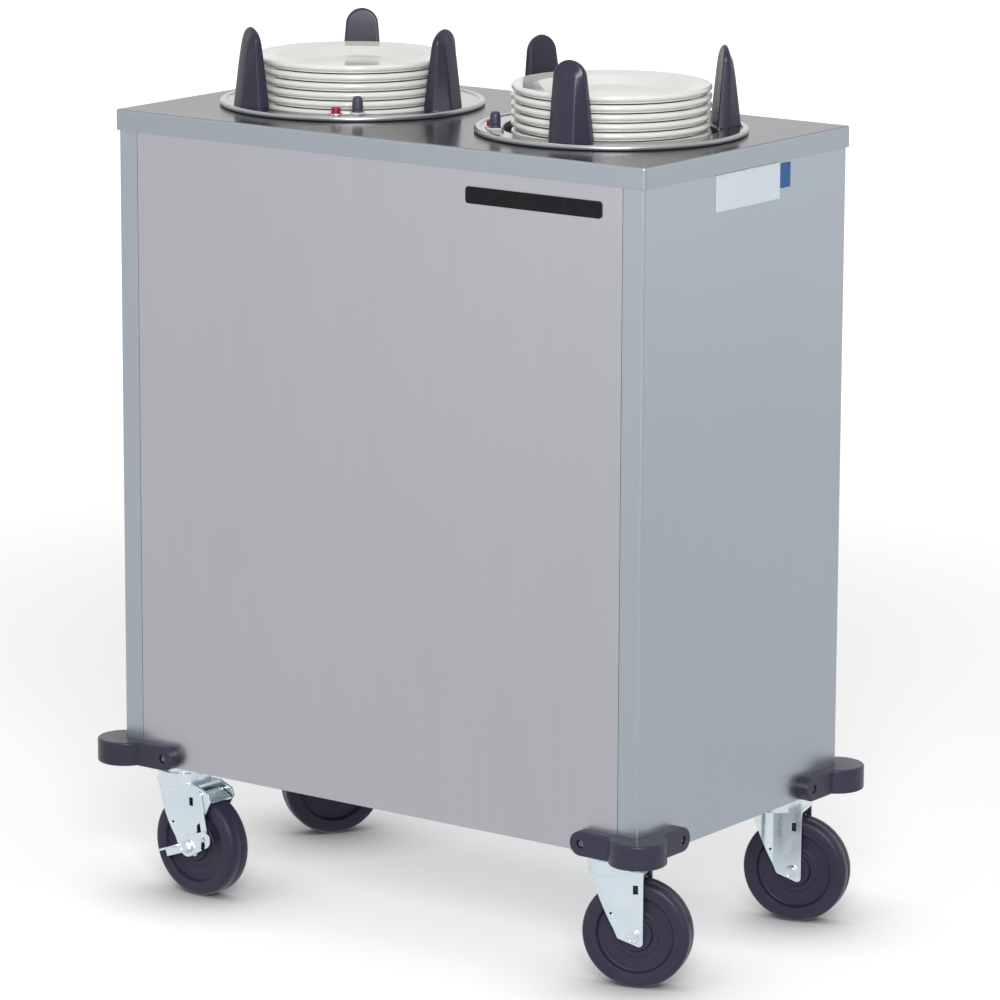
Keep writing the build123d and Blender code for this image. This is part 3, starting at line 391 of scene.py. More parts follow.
def moulded(name, colour, worn, roughness, fine, depth, edge=0.0008, **sockets):
    """Moulded plastic or rubber: fine surface grain, and paler scuffs along low noise."""
    material, tree, shader = new_material(name, colour, roughness, **sockets)
    scuffs = noise(tree, 14.0, 5.0)
    grain = noise(tree, fine, 4.0)
    tone = blend_colours(tree, spread(tree, scuffs, 0.0, 1.0), colour, worn)
    tree.links.new(tone, shader.inputs["Base Color"])
    tree.links.new(
        spread(tree, scuffs, roughness - 0.07, roughness + 0.09), shader.inputs["Roughness"]
    )
    rounded_normal(tree, shader, edge, grain, depth, 0.0004)
    return material


def glazed(name, colour, pooled):
    """White glazed crockery with slightly warmer pooled glaze."""
    material, tree, shader = new_material(
        name, colour, 0.12, Coat_Weight=0.3, Coat_Roughness=0.05, Specular_IOR_Level=0.5
    )
    pools = noise(tree, 9.0, 3.0)
    specks = noise(tree, 700.0, 2.0)
    tree.links.new(
        blend_colours(tree, spread(tree, pools, 0.0, 1.0), colour, pooled),
        shader.inputs["Base Color"],
    )
    tree.links.new(spread(tree, pools, 0.09, 0.2), shader.inputs["Roughness"])
    rounded_normal(tree, shader, 0.001, specks, 0.015, 0.0002)
    return material


def coated(name, colour, shade, roughness, **sockets):
    """Smooth printed film or enamel."""
    material, tree, shader = new_material(name, colour, roughness, **sockets)
    flecks = noise(tree, 180.0, 3.0)
    tree.links.new(
        blend_colours(tree, spread(tree, flecks, 0.0, 1.0), colour, shade),
        shader.inputs["Base Color"],
    )
    tree.links.new(
        spread(tree, flecks, roughness - 0.04, roughness + 0.06), shader.inputs["Roughness"]
    )
    rounded_normal(tree, shader, 0.0003, flecks, 0.02, 0.0002)
    return material


def finish(node, material):
    """Gives a CAD node its material."""
    for slot in frame["nodes"][node].material_slots:
        slot.material = material


# ---------------------------------------------------------------- mesh pieces
def new_piece(name, vertices, faces, material, smooth=True):
    """Mesh object from points in the cart's frame."""
    mesh = bpy.data.meshes.new(name)
    mesh.from_pydata([tuple(v) for v in vertices], [], faces)
    mesh.validate()
    mesh.materials.append(material)
    if smooth:
        mesh.shade_smooth()
    piece = bpy.data.objects.new(name, mesh)
    bpy.context.scene.collection.objects.link(piece)
    return piece


def ring(radius, height, sides=0):
    """Loop of points round +Z: a circle, or a polygon whose corners lie at radius."""
    loop = []
    for step in range(RING_STEPS):
        angle = 2 * pi * step / RING_STEPS
        reach = radius
        if sides:
            reach *= cos(pi / sides) / cos(angle % (2 * pi / sides) - pi / sides)
        loop.append(Vector((reach * cos(angle), reach * sin(angle), height)))
    return loop


def lofted(name, loops, place, axis, material, closed=False):
    """Skin through loops of points, with +Z along axis and the origin at place.

    A closed skin joins its last loop to its first; an open one gets two end caps.
    """
    turn = Vector(axis).to_track_quat("Z", "Y").to_matrix()
    count = len(loops[0])
    points = [Vector(place) + turn @ point for loop in loops for point in loop]
    faces = []
    for row in range(len(loops) if closed else len(loops) - 1):
        below = row * count
        above = (row + 1) % len(loops) * count
        for step in range(count):
            after = (step + 1) % count
            faces.append((below + step, below + after, above + after, above + step))
    if not closed:
        faces.append(tuple(reversed(range(count))))
        faces.append(tuple(range(len(points) - count, len(points))))
    piece = new_piece(name, points, faces, material)
    piece.data.set_sharp_from_angle(angle=SHARP_ANGLE)
    return piece


def rounded(corners):
    """Outline through (radius, height, round) corners, each cut by an arc of its round."""
    points = [Vector(corners[0][:2])]
    for before, here, after in zip(corners, corners[1:], corners[2:]):
        corner = Vector(here[:2])
        back = (Vector(before[:2]) - corner).normalized()
        ahead = (Vector(after[:2]) - corner).normalized()
        if here[2] == 0:
            points.append(corner)
            continue
        cut = here[2] / tan(back.angle(ahead) / 2)
        for step in range(ROUND_STEPS + 1):
            share = step / ROUND_STEPS
            points.append(
                (corner + back * cut) * (1 - share) ** 2
                + corner * 2 * share * (1 - share)
                + (corner + ahead * cut) * share**2
            )
    points.append(Vector(corners[-1][:2]))
    return points


def turned(name, corners, place, axis, material, closed=False):
    """Solid of revolution from a rounded outline."""
    loops = [ring(point.x, point.y) for point in rounded(corners)]
    return lofted(name, loops, place, axis, material, closed)


def socket_screw(name, place, axis, head, shank, material):
    """Screw with a domed head and a hexagon socket; head and shank are (radius, length)."""
    head_radius, head_height = head
    shank_radius, shank_length = shank
    socket = head_radius * 0.45
    loops = [ring(shank_radius * 0.7, -shank_length), ring(shank_radius, -shank_length * 0.94)]
    loops += [ring(shank_radius, 0), ring(head_radius, 0)]
    dome = (
        (head_radius, 0, 0),
        (head_radius, head_height, head_height * 0.6),
        (socket * 1.25, head_height, 0),
    )
    loops += [ring(point.x, point.y) for point in rounded(dome)]
    loops += [ring(socket, head_height * 0.9, 6), ring(socket, head_height * 0.3, 6)]
    return lofted(name, loops, place, axis, material)


def coil(name, low, high, turns, material):
    """Wound spring that fills the box from low to high, as one tube along its helix."""
    outer = (high.x - low.x) / 2
    wire = SPRING_WIRE / 2
    radius = outer - wire
    centre = (low + high) / 2
    bottom = low.z + wire
    length = high.z - low.z - 2 * wire
    steps = turns * COIL_STEPS
    rise = length / (turns * 2 * pi * radius)
    points, faces = [], []
    for step in range(steps + 1):
        angle = 2 * pi * step / COIL_STEPS
        out = Vector((cos(angle), sin(angle), 0))
        along = Vector((-sin(angle), cos(angle), rise)).normalized()
        across = along.cross(out)
        middle_z = bottom + length * step / steps
        line = Vector((centre.x, centre.y, middle_z)) + out * radius
        for side in range(WIRE_SIDES):
            turn = 2 * pi * side / WIRE_SIDES
            points.append(line + (out * cos(turn) + across * sin(turn)) * wire)
    for step in range(steps):
        for side in range(WIRE_SIDES):
            after = (side + 1) % WIRE_SIDES
            a, b = step * WIRE_SIDES, (step + 1) * WIRE_SIDES
            faces.append((a + side, b + side, b + after, a + after))
    faces.append(tuple(range(WIRE_SIDES)))
    faces.append(tuple(reversed(range(steps * WIRE_SIDES, (steps + 1) * WIRE_SIDES))))
    return new_piece(name, points, faces, material)


def screws_in_place(node, name, material):
    """A socket screw on each solid of a node, with its head on the outside of the cart."""
    for number, (low, high) in enumerate(islands(node)):
        size = high - low
        centre = (low + high) / 2
        along = 0 if size.x > size.y else 1
        outward = 1 if centre[along] > 0 else -1
        axis = Vector((0, 0, 0))
        axis[along] = outward
        head = (size.z / 2, SCREW_HEAD)
        seat = centre + axis * (size[along] / 2 - SCREW_HEAD)
        shank = (SCREW_SHANK, size[along] - SCREW_HEAD)
        piece = socket_screw(f"{name}_{number + 1}", seat, axis, head, shank, material)
        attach(piece, "cart")
        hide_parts(node)


def smooth_least(first, second, radius):
    """Smaller of two values, with a round join of about radius."""
    share = max(radius - abs(first - second), 0.0) / radius
    return min(first, second) - share * share * radius / 4


# ---------------------------------------------------------------- settings
def length_setting(name, description, default):
    """Setting in metres."""
    return bpy.props.FloatProperty(
        name=name, description=description, default=default, unit="LENGTH"
    )


def angle_setting(name, description, degrees):
    """Setting that Blender shows in degrees and keeps in radians."""
    return bpy.props.FloatProperty(
        name=name, description=description, default=radians(degrees), subtype="ANGLE"
    )


def power_setting(name, description, watts):
    """Setting in watts."""
    return bpy.props.FloatProperty(
        name=name, description=description, default=watts, unit="POWER"
    )


def colour_setting(name, description, default):
    """Setting for a linear colour."""
    return bpy.props.FloatVectorProperty(
        name=name, description=description, default=default, subtype="COLOR", min=0.0, max=1.0
    )


class CartPostSettings(bpy.types.PropertyGroup):
    """Sizes and colour of the guide posts."""

    height: length_setting("Height", "Flange to the post's tip", 0.093)
    base_width: length_setting("Base width", "Width at the flange", 0.051)
    shoulder_width: length_setting("Shoulder width", "Width where the round top starts", 0.039)
    inner_foot: length_setting(
        "Inner foot", "Silo axis to the flat inner side at the flange", 0.1195
    )
    depth: length_setting("Depth", "Thickness at the flange", 0.030)
    tip_depth: length_setting("Tip depth", "Thickness at the tip", 0.0048)
    wall: length_setting("Side wall", "Depth of the flat sides", 0.0127)
    border: length_setting("Border", "Width of the bevelled border at the flange", 0.014)
    edge: length_setting("Edge", "Round of the edges at the flange", 0.0012)
    first_left: angle_setting("Left direction", "Direction of the left silo's first post", 122.7)
    first_right: angle_setting("Right direction", "Direction of the right silo's first post", 44.0)
    colour: colour_setting("Colour", "Moulded plastic", (0.016, 0.0155, 0.034))


class CartSteelSettings(bpy.types.PropertyGroup):
    """Colours and grain of the sheet metal."""

    panel: colour_setting("Panels", "Front and rear panel", (0.468, 0.474, 0.51))
    corner: colour_setting(
        "Corners", "Side panels and their corner returns", (0.402, 0.443, 0.49)
    )
    # The cap's darker top colour is painted shade, standing in for the dark reflection on its
    # polished face
    cap: colour_setting("Cap", "Polished upper face of the cap", (0.26, 0.262, 0.285))
    zinc: colour_setting("Zinc", "Caster forks and plates", (0.76, 0.84, 0.87))
    grain: bpy.props.FloatProperty(
        name="Grain depth", description="Strength of the brushed grain", default=0.05
    )


class CartRubberSettings(bpy.types.PropertyGroup):
    """Colours of the wheels, bumpers and boots."""

    wheel: colour_setting("Wheels", "Solid wheel", (0.024, 0.0215, 0.043))
    bumper: colour_setting("Bumpers", "Corner bumpers", (0.021, 0.0195, 0.041))
    boot: colour_setting("Boots", "Rubber boots of the switches", (0.03, 0.032, 0.054))


class CartTrimSettings(bpy.types.PropertyGroup):
    """Colours of the crockery, lamps and labels."""

    glaze: colour_setting("Glaze", "Plates", (0.81, 0.81, 0.78))
    lens: colour_setting("Lamp lens", "Pilot lamps", (0.34, 0.006, 0.018))
    badge: colour_setting("Badge", "Bare badge on the front panel", (0.008, 0.008, 0.01))
    tag: colour_setting("Tag", "Small tag beside the rating plate", (0.022, 0.12, 0.33))


class CartStageSettings(bpy.types.PropertyGroup):
    """Camera, floor and lights."""

    camera_place: bpy.props.FloatVectorProperty(
        name="Camera",
        description="Camera position",
        default=(3.6552, -4.9520, 1.8268),
        subtype="TRANSLATION",
        unit="LENGTH",
    )
    camera_yaw: angle_setting("Yaw", "Turn about +Z", 36.194)
    camera_pitch: angle_setting("Pitch", "Tilt below the horizon", 12.2006)
    camera_roll: angle_setting("Roll", "Turn about the view", 0.2377)
    lens: bpy.props.FloatProperty(
        name="Lens", description="Focal length on a 36 mm sensor", default=191.083, unit="CAMERA"
    )
    floor_size: length_setting("Floor", "Side of the square floor", 60.0)
    floor_white: bpy.props.FloatProperty(
        name="Floor lift", description="White added to the floor for the camera", default=0.42
    )
    floor_mirrored: bpy.props.FloatProperty(
        name="Floor in metal", description="Brightness of the floor in reflections", default=0.88
    )
    contact: length_setting("Contact shadow", "Reach of the shadow at the wheels", 0.14)
    sky: bpy.props.FloatProperty(
        name="Sky", description="Strength of the even studio light", default=0.45
    )
    key_power: power_setting("Key", "Softbox above the camera", 150.0)
    top_power: power_setting("Top", "Softbox above the cart", 8.0)
    side_power: power_setting(
        "Sides", "Softbox that the right side mirrors; the front's has twice that", 5.0
    )


# ---------------------------------------------------------------- operators
class CART_OT_cabinet(bpy.types.Operator):
    """Finishes the cap, the panels and the base"""

    bl_idname = "cart.cabinet"
    bl_label = "Cabinet"

    def execute(self, context):
        steel = context.scene.cart_steel
        vertical = (700, 700, 7)
        front = brushed_steel("panel_steel", steel.panel, 0.33, vertical, steel.grain)
        corner = brushed_steel("corner_steel", steel.corner, 0.33, vertical, steel.grain)
        skirt = scaled(steel.corner, 0.93)
        # The cap's top colour, darker than its skirt, is painted shade for the dark reflection on
        # the polished top
        cap = polished_steel("cap_steel", steel.cap, skirt, 0.18, (500, 500, 9), 0.76)
        base = brushed_steel("base_steel", scaled(steel.panel, 0.9), 0.4, (9, 500, 500), 0.08)
        for node in ("front_panel", "rear_panel"):
            finish(node, front)
        for side in SIDES:
            finish(f"side_panel_{side}", corner)
        finish("top_cap", cap)
        for node in ("base_pan", "base_rails", "terminal_box"):
            finish(node, base)
        screws = bright_metal("screw_steel", (0.6, 0.6, 0.62), 0.22)
        screws_in_place("rear_panel_screws", "rear_panel_screw", screws)
        gland = moulded("gland_plastic", *BLACK_PLASTIC, 0.45, 900, 0.1)
        finish("cord_gland", gland)
        return {"FINISHED"}


class CART_OT_silos(bpy.types.Operator):
    """Finishes the flanges and everything inside the silos"""

    bl_idname = "cart.silos"
    bl_label = "Silos"

    def springs(self, side, steel):
        """Coils that hang from the rods' feet, one filling each solid of the springs node."""
        node = f"carrier_springs_{side}"
        for number, (low, high) in enumerate(islands(node)):
            piece = coil(f"spring_{side}_{number + 1}", low, high, SPRING_TURNS, steel)
            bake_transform(piece)
            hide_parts(node)

    def execute(self, context):
        steel = context.scene.cart_steel
        flange_colour = (0.37, 0.375, 0.385)
        flange = polished_steel("flange_steel", flange_colour, flange_colour, 0.12, (400, 400, 400))
        inside = brushed_steel("silo_steel", (0.42, 0.42, 0.43), 0.35, (300, 300, 12), 0.08)
        dark = brushed_steel("lift_steel", (0.36, 0.36, 0.37), 0.4, (300, 12, 300), 0.08)
        spring = bright_metal("spring_steel", scaled(steel.zinc, 0.8), 0.3)
        sheath = bright_metal("heater_sheath", (0.2, 0.19, 0.18), 0.45)
        for side in SIDES:
            finish(f"silo_flange_{side}", flange)
            finish(f"silo_tube_{side}", inside)
            finish(f"plate_carrier_{side}", dark)
            self.springs(side, spring)
        finish("silo_bases", inside)
        finish("guide_rods", bright_metal("rod_steel", (0.6, 0.6, 0.61), 0.15))
        finish("heaters", sheath)
        finish("thermostats", sheath)
        return {"FINISHED"}


class CART_OT_plates(bpy.types.Operator):
    """Glazes the stacks of plates"""

    bl_idname = "cart.plates"
    bl_label = "Plates"

    def execute(self, context):
        trim = context.scene.cart_trim
        glaze = glazed("plate_glaze", trim.glaze, (0.78, 0.775, 0.735))
        for side in SIDES:
            finish(f"plate_stack_{side}", glaze)
        return {"FINISHED"}


def eased(share, straight, late, power):
    """Share of a change that runs straight at first and speeds up near its end."""
    return straight * share + late * share**power


def post_depths(settings, height):
    """Inner side, side wall's end and outer panel of a post at a height, from the silo axis."""
    foot = settings.inner_foot
    share = min(height / settings.height, 1.0)
    tip = foot + POST_LEAN
    inner = foot + (tip - foot) * eased(share, 0.8, 0.2, 8)
    outer_fall = settings.depth - (tip + settings.tip_depth - foot)
    outer = foot + settings.depth - outer_fall * eased(share, 0.73, 0.27, 7)
    wall = settings.wall - (settings.wall - settings.tip_depth) * eased(share, 0.56, 0.44, 6)
    return inner, inner + wall, outer


def post_outline(settings):
    """Arched outline from one foot to the other, as (y, z, width of the border)."""
    half_base = settings.base_width / 2
    half_top = settings.shoulder_width / 2
    shoulder = settings.height - half_top
    leg = []
    for step in range(POST_LEG_STEPS):
        share = step / POST_LEG_STEPS
        side = half_base - (half_base - half_top) * share
        leg.append((side, shoulder * share, settings.border * (1 - BORDER_TAPER * share)))
    outline = [(-side, z, border) for side, z, border in leg]
    for step in range(POST_ARC_STEPS + 1):
        angle = pi - pi * step / POST_ARC_STEPS
        border = settings.border * (BORDER_SHOULDER + BORDER_TIP * sin(angle) ** 4)
        outline.append((half_top * cos(angle), shoulder + half_top * sin(angle), border))
    return outline + leg[::-1]


def post_mesh(settings):
    """Points and faces of one guide post at +X, z = 0 on the flange, in metres.

    The arched outline is drawn in towards a spine; the outer face rises from the side wall as
    a bevelled border until it meets the outer panel, and every edge is rounded.
    """
    height = settings.height
    shoulder = height - settings.shoulder_width / 2
    outline = post_outline(settings)
    sheets = {"inner": [], "outer": []}
    rows = len(EDGE_STEPS) + len(BORDER_STEPS) + 1
    for row in range(rows + 1):
        for y, z, border in outline:
            spine_z = min(z, shoulder)
            to_spine = sqrt(y * y + (z - spine_z) ** 2)
            edge = settings.edge * (1 + (z / height) ** 3)
            if row < len(EDGE_STEPS):
                reach = edge * EDGE_STEPS[row]
            elif row < len(EDGE_STEPS) + len(BORDER_STEPS):
                reach = border * BORDER_STEPS[row - len(EDGE_STEPS)]
            else:
                reach = border * BORDER_END + (to_spine - border * BORDER_END) * (row - rows + 1)
            share = min(reach / to_spine, 1.0)
            at_y = y * (1 - share)
            at_z = z + (spine_z - z) * share
            inner, wall, panel = post_depths(settings, at_z)
            cut = max(edge - reach, 0.0)
            drop = edge - sqrt(edge * edge - cut * cut)
            rise = wall + (panel - wall) * reach / border
            outer = smooth_least(rise, panel, POST_JOIN)
            sheets["inner"].append((min(inner + drop, outer), at_y, at_z))
            sheets["outer"].append((max(outer - drop, inner), at_y, at_z))
    count = len(outline)
    points = sheets["inner"] + sheets["outer"]
    outer_start = len(sheets["inner"])
    faces = []
    for row in range(rows):
        for step in range(count - 1):
            a = row * count + step
            faces.append((a, a + count, a + count + 1, a + 1))
            b = a + outer_start
            faces.append((b, b + 1, b + count + 1, b + count))
    for step in range(count - 1):
        faces.append((step, step + 1, outer_start + step + 1, outer_start + step))
    return points, faces


class CART_OT_posts(bpy.types.Operator):
    """Moulds the guide posts with their bevelled borders"""

    bl_idname = "cart.posts"
    bl_label = "Guide posts"

    def execute(self, context):
        settings = context.scene.cart_posts
        plastic = moulded(
            "post_plastic", settings.colour, scaled(settings.colour, 1.25), 0.32, 500, 0.1,
            Specular_IOR_Level=0.4,
        )
        points, faces = post_mesh(settings)
        for side in SIDES:
            node = f"guide_posts_{side}"
            base = silo_axis(side)
            base.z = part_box(node)[0].z
            first = settings.first_left if side == "left" else settings.first_right
            for number in range(POSTS_PER_SILO):
                turn = Matrix.Rotation(first + number * 2 * pi / POSTS_PER_SILO, 4, "Z")
                placed = [base + turn @ Vector(point) for point in points]
                post = new_piece(f"guide_post_{side}_{number + 1}", placed, faces, plastic)
                bm = bmesh.new()
                bm.from_mesh(post.data)
                bmesh.ops.remove_doubles(bm, verts=bm.verts, dist=POST_WELD)
                bmesh.ops.holes_fill(bm, edges=[e for e in bm.edges if e.is_boundary])
                bmesh.ops.recalc_face_normals(bm, faces=bm.faces)
                bm.to_mesh(post.data)
                bm.free()
                post.data.shade_smooth()
                post.data.set_sharp_from_angle(angle=POST_SHARP_ANGLE)
                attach(post, "cart")
                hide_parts(node)
        finish("post_screws", bright_metal("post_screw_steel", (0.55, 0.55, 0.56), 0.25))
        return {"FINISHED"}


class CART_OT_controls(bpy.types.Operator):
    """Finishes the switches and pilot lamps"""

    bl_idname = "cart.controls"
    bl_label = "Controls"

    def execute(self, context):
        rubber = context.scene.cart_rubber
        trim = context.scene.cart_trim
        boot = moulded("boot_rubber", rubber.boot, scaled(rubber.boot, 1.35), 0.42, 700, 0.1)
        chrome = bright_metal("control_chrome", (0.68, 0.68, 0.7), 0.12)
        lens = coated("lamp_lens", trim.lens, scaled(trim.lens, 0.8), 0.12)
        housing = moulded("switch_plastic", *BLACK_PLASTIC, 0.5, 600, 0.1)
        for side in SIDES:
            hinge = joint(f"toggle_{side}")
            node = f"switch_boot_{side}"
            pivot = Vector(hinge["pos_m"])
            low, high = span(node, pivot, Vector((0, 0, 1)))
            wide = (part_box(node)[1].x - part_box(node)[0].x) / 2
            corners = [(wide * BOOT_END, low, 0)]
            corners += [(wide * share, height, cut) for share, height, cut in BOOT_STEPS]
            corners += [(wide * BOOT_END, high, wide * 0.82), (wide * 0.04, high, 0)]
            piece = turned(f"boot_{side}", corners, pivot, (0, 0, 1), boot)
            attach(piece, f"toggle_{side}")
            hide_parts(node)
        finish("switch_nuts", chrome)
        finish("lamp_bezels", chrome)
        finish("lamp_lenses", lens)
        finish("switch_housings", housing)
        return {"FINISHED"}


class CART_OT_labels(bpy.types.Operator):
    """Finishes the bare badge, rating plate and tag"""

    bl_idname = "cart.labels"
    bl_label = "Labels"

    def execute(self, context):
        trim = context.scene.cart_trim
        badge = coated(
            "badge_enamel", trim.badge, scaled(trim.badge, 1.6), 0.22, Specular_IOR_Level=0.12
        )
        finish("badge_plate", badge)
        finish("rating_plate", coated("label_film", (0.7, 0.75, 0.81), (0.66, 0.71, 0.78), 0.35))
        tag = coated("tag_film", trim.tag, scaled(trim.tag, 0.85), 0.4, Specular_IOR_Level=0.25)
        finish("colour_tag", tag)
        return {"FINISHED"}


class CART_OT_bumpers(bpy.types.Operator):
    """Finishes the corner bumpers and their screws"""

    bl_idname = "cart.bumpers"
    bl_label = "Bumpers"

    def execute(self, context):
        rubber = context.scene.cart_rubber
        skin = moulded(
            "bumper_rubber", rubber.bumper, scaled(rubber.bumper, 1.3), 0.36, 420, 0.12, 0.0018,
            Specular_IOR_Level=0.42,
        )
        for corner in CORNERS:
            finish(f"bumper_{corner}", skin)
        # Screw heads coloured dark as painted shade of their deep recesses; their gloss keeps the
        # glints
        dark = bright_metal("bumper_screw_shaded_steel", (0.17, 0.17, 0.2), 0.22)
        screws_in_place("bumper_screws", "bumper_screw", dark)
        return {"FINISHED"}


class CART_OT_casters(bpy.types.Operator):
    """Finishes the casters and brakes"""

    bl_idname = "cart.casters"
    bl_label = "Casters"

    def wheel(self, corner, rubber, steel):
        """Solid wheel with a lipped tread and stepped hub, on a steel sleeve."""
        node = f"caster_wheel_{corner}"
        roll = joint(f"roll_{corner}")
        centre, axis = Vector(roll["pos_m"]), Vector(roll["axis"])
        hub = span(node, centre, axis)[1]
        radius = centre.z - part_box(node)[0].z
        half = [
            (SLEEVE_RADIUS, hub, 0),
            (HUB_RADIUS, hub, 0.0006),
            *WHEEL_STEPS,
            (radius, WHEEL_TREAD, TREAD_ROUND),
            (radius, SEAM_HALF_WIDTH, 0),
        ]
        seam = [(radius - SEAM_DEPTH, 0.0, 0)]
        corners = half + seam + [(reach, -along, cut) for reach, along, cut in reversed(half)]
        piece = turned(f"wheel_{corner}", corners, centre, axis, rubber, closed=True)
        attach(piece, f"wheel_{corner}")
        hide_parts(node)
        bore = AXLE_RADIUS + BORE_GAP
        corners = [
            (bore, hub, 0),
            (SLEEVE_RADIUS, hub, 0.0004),
            (SLEEVE_RADIUS, -hub, 0.0004),
            (bore, -hub, 0),
        ]
        piece = turned(f"wheel_sleeve_{corner}", corners, centre, axis, steel, closed=True)
        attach(piece, f"wheel_{corner}")
        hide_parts(node)

    def axle(self, corner, steel):
        """Hexagon bolt with a flanged, dished head, and its nut with the thread's end."""
        node = f"caster_axle_{corner}"
        roll = joint(f"roll_{corner}")
        centre, axis = Vector(roll["pos_m"]), -Vector(roll["axis"])
        low, high = span(node, centre, axis)
        seat = high - AXLE_HEAD
        nut = low + AXLE_HEAD
        loops = [
            ring(AXLE_RADIUS * 0.8, low),
            ring(AXLE_RADIUS, low + 0.0006),
            ring(AXLE_RADIUS, low + 0.0010),
            ring(BOLT_HEXAGON * 0.86, low + 0.0010),
            ring(BOLT_HEXAGON, low + 0.0017, 6),
            ring(BOLT_HEXAGON, nut - 0.0010, 6),
            ring(BOLT_FLANGE, nut - 0.0010),
            ring(BOLT_FLANGE, nut),
            ring(AXLE_RADIUS, nut),
            ring(AXLE_RADIUS, seat),
            ring(BOLT_FLANGE, seat),
            ring(BOLT_FLANGE, seat + 0.0010),
            ring(BOLT_HEXAGON, seat + 0.0012, 6),
            ring(BOLT_HEXAGON, high - 0.0007, 6),
            ring(BOLT_HEXAGON * 0.85, high),
            ring(BOLT_HEXAGON * 0.66, high),
            ring(BOLT_HEXAGON * 0.58, high - 0.0007),
            ring(BOLT_HEXAGON * 0.1, high - 0.0007),
        ]
        piece = lofted(f"axle_bolt_{corner}", loops, centre, axis, steel)
        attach(piece, f"fork_{corner}")
        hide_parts(node)

    def execute(self, context):
        steel = context.scene.cart_steel
        rubber = context.scene.cart_rubber
        zinc = zinc_plate("caster_zinc", steel.zinc, (0.68, 0.8, 0.86))
        bolt = bright_metal("bolt_zinc", scaled(steel.zinc, 0.95), 0.25)
        tread = moulded(
            "wheel_rubber", rubber.wheel, scaled(rubber.wheel, 1.35), 0.42, 260, 0.12, 0.0004,
            Specular_IOR_Level=0.3,
        )
        for node in ("caster_plates", "king_pins"):
            finish(node, zinc)
        finish("caster_bolts", bolt)
        for corner in CORNERS:
            finish(f"caster_fork_{corner}", zinc)
            self.wheel(corner, tread, bolt)
            self.axle(corner, bolt)
        for corner in BRAKED:
            finish(f"brake_lever_{corner}", zinc)
            finish(f"brake_shoe_{corner}", zinc)
        return {"FINISHED"}


def area_light(name, place, target, size, power):
    """Rectangular softbox that faces target and that the camera doesn't see."""
    data = bpy.data.lights.new(name, "AREA")
    data.shape = "RECTANGLE"
    data.size, data.size_y = size
    data.energy = power
    light = bpy.data.objects.new(name, data)
    light.location = place
    light.visible_camera = False
    light.rotation_euler = (Vector(target) - Vector(place)).to_track_quat("-Z", "Y").to_euler()
    bpy.context.scene.collection.objects.link(light)


def white_light(tree, kind, strength):
    """White emission or background."""
    return add_node(tree, kind, Color=WHITE, Strength=strength).outputs[0]


def mirrored_ray(tree, rays):
    """1 for glossy and transmission rays, 0 for the rest."""
    return calculate(tree, "MAXIMUM", rays["Is Glossy Ray"], rays["Is Transmission Ray"])


def floor_material(stage):
    """White paper with a contact shadow, lifted towards white further from the cart."""
    material = bpy.data.materials.new("floor_white")
    material.use_nodes = True
    tree = material.node_tree
    tree.nodes.clear()
    rays = add_node(tree, "ShaderNodeLightPath").outputs
    white_paper = (FLOOR_PAPER, FLOOR_PAPER, FLOOR_PAPER, 1)
    paper = add_node(tree, "ShaderNodeBsdfDiffuse", Color=white_paper).outputs[0]
    near = add_node(
        tree, "ShaderNodeAmbientOcclusion", {"samples": CONTACT_SAMPLES}, Distance=stage.contact
    ).outputs["AO"]
    open_share = calculate(tree, "POWER", near, CONTACT_POWER)
    away = add_node(tree, "ShaderNodeVectorMath", {"operation": "LENGTH"})
    place = add_node(tree, "ShaderNodeTexCoord").outputs["Object"]
    tree.links.new(place, away.inputs[0])
    lifted = remap(
        tree, away.outputs["Value"], LIFT_START, LIFT_END, stage.floor_white, LIFT_FAR,
        clamp=True, interpolation_type="SMOOTHSTEP",
    )
    strength = calculate(tree, "MULTIPLY", open_share, lifted)
    shade = remap(tree, open_share, 0.0, 1.0, FLOOR_CONTACT, FLOOR_PAPER, clamp=True)
    shaded_paper = add_node(tree, "ShaderNodeBsdfDiffuse", Color=shade).outputs[0]
    seen = add_node(tree, "ShaderNodeAddShader")
    tree.links.new(shaded_paper, seen.inputs[0])
    tree.links.new(white_light(tree, "ShaderNodeEmission", strength), seen.inputs[1])
    direct = mix_shaders(tree, rays["Is Camera Ray"], paper, seen.outputs[0])
    mirrored = white_light(tree, "ShaderNodeEmission", stage.floor_mirrored)
    mixed = mix_shaders(tree, mirrored_ray(tree, rays), direct, mirrored)
    add_node(tree, "ShaderNodeOutputMaterial", Surface=mixed)
    return material


def build_world(scene, stage):
    """Even light on the cart, and pure white for the camera and in the metal."""
    world = bpy.data.worlds.new("studio")
    world.use_nodes = True
    scene.world = world
    tree = world.node_tree
    tree.nodes.clear()
    rays = add_node(tree, "ShaderNodeLightPath").outputs
    light = white_light(tree, "ShaderNodeBackground", stage.sky)
    seen = white_light(tree, "ShaderNodeBackground", 1.0)
    white = calculate(tree, "MAXIMUM", rays["Is Camera Ray"], mirrored_ray(tree, rays))
    add_node(tree, "ShaderNodeOutputWorld", Surface=mix_shaders(tree, white, light, seen))


def build_camera(scene, stage):
    """Camera from the stage's settings."""
    data = bpy.data.cameras.new("camera")
    data.sensor_width = 36.0
    data.lens = stage.lens
    data.clip_end = 200.0
    camera = bpy.data.objects.new("camera", data)
    camera.location = stage.camera_place
    camera.rotation_euler = (
        Matrix.Rotation(stage.camera_yaw, 3, "Z")
        @ Matrix.Rotation(pi / 2 - stage.camera_pitch, 3, "X")
        @ Matrix.Rotation(stage.camera_roll, 3, "Z")
    ).to_euler()
    scene.collection.objects.link(camera)
    scene.camera = camera


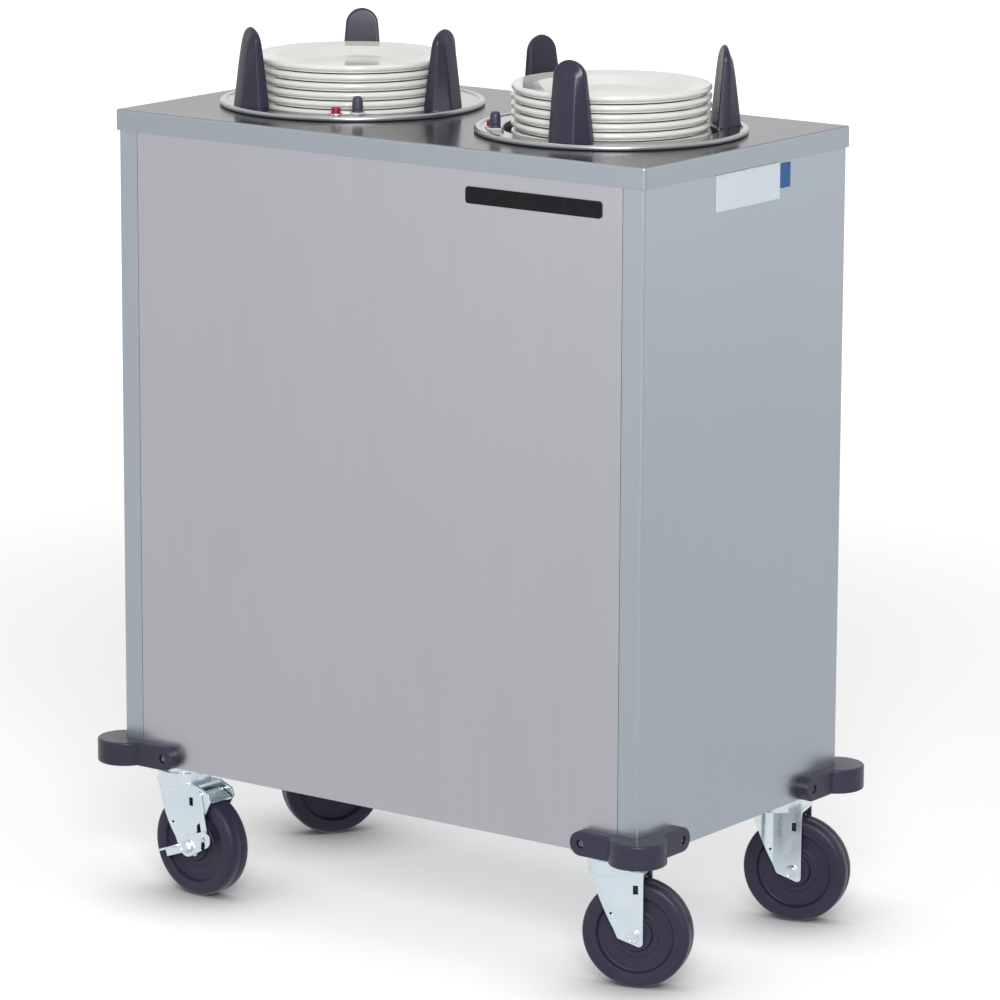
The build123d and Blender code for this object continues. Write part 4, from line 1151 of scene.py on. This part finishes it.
class CART_OT_stage(bpy.types.Operator):
    """Builds the floor, lights and camera"""

    bl_idname = "cart.stage"
    bl_label = "Studio"

    def execute(self, context):
        scene = context.scene
        stage = scene.cart_stage
        half = stage.floor_size / 2
        corners = [(-half, -half, 0), (half, -half, 0), (half, half, 0), (-half, half, 0)]
        material = floor_material(stage)
        floor = new_piece("studio_floor", corners, [(0, 1, 2, 3)], material, smooth=False)
        build_world(scene, stage)
        for name, place, target, size, power, share in SOFTBOXES:
            area_light(name, place, target, size, getattr(stage, power) * share)
        build_camera(scene, stage)
        scene.view_settings.view_transform = "Standard"
        return {"FINISHED"}


OPERATORS = (
    CART_OT_cabinet,
    CART_OT_silos,
    CART_OT_plates,
    CART_OT_posts,
    CART_OT_controls,
    CART_OT_labels,
    CART_OT_bumpers,
    CART_OT_casters,
    CART_OT_stage,
)


class CART_PT_panel(bpy.types.Panel):
    """Lists the cart's operators in the sidebar"""

    bl_idname = "CART_PT_panel"
    bl_label = "Plate dispenser cart"
    bl_space_type = "VIEW_3D"
    bl_region_type = "UI"
    bl_category = "Cart"

    def draw(self, context):
        for operator in OPERATORS:
            self.layout.operator(operator.bl_idname)


SETTINGS = {
    "cart_steel": CartSteelSettings,
    "cart_posts": CartPostSettings,
    "cart_rubber": CartRubberSettings,
    "cart_trim": CartTrimSettings,
    "cart_stage": CartStageSettings,
}


def register():
    """Adds the settings, operators and panel to Blender."""
    for name, group in SETTINGS.items():
        bpy.utils.register_class(group)
        setattr(bpy.types.Scene, name, bpy.props.PointerProperty(type=group))
    for cls in (*OPERATORS, CART_PT_panel):
        bpy.utils.register_class(cls)


def unregister():
    """Takes them out again, in the opposite order."""
    for cls in reversed((*OPERATORS, CART_PT_panel)):
        bpy.utils.unregister_class(cls)
    for name, group in SETTINGS.items():
        delattr(bpy.types.Scene, name)
        bpy.utils.unregister_class(group)


def main():
    """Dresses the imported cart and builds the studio."""
    register()
    bpy.ops.cart.cabinet()
    bpy.ops.cart.silos()
    bpy.ops.cart.plates()
    bpy.ops.cart.posts()
    bpy.ops.cart.controls()
    bpy.ops.cart.labels()
    bpy.ops.cart.bumpers()
    bpy.ops.cart.casters()
    bpy.ops.cart.stage()


if __name__ == "__main__":
    main()
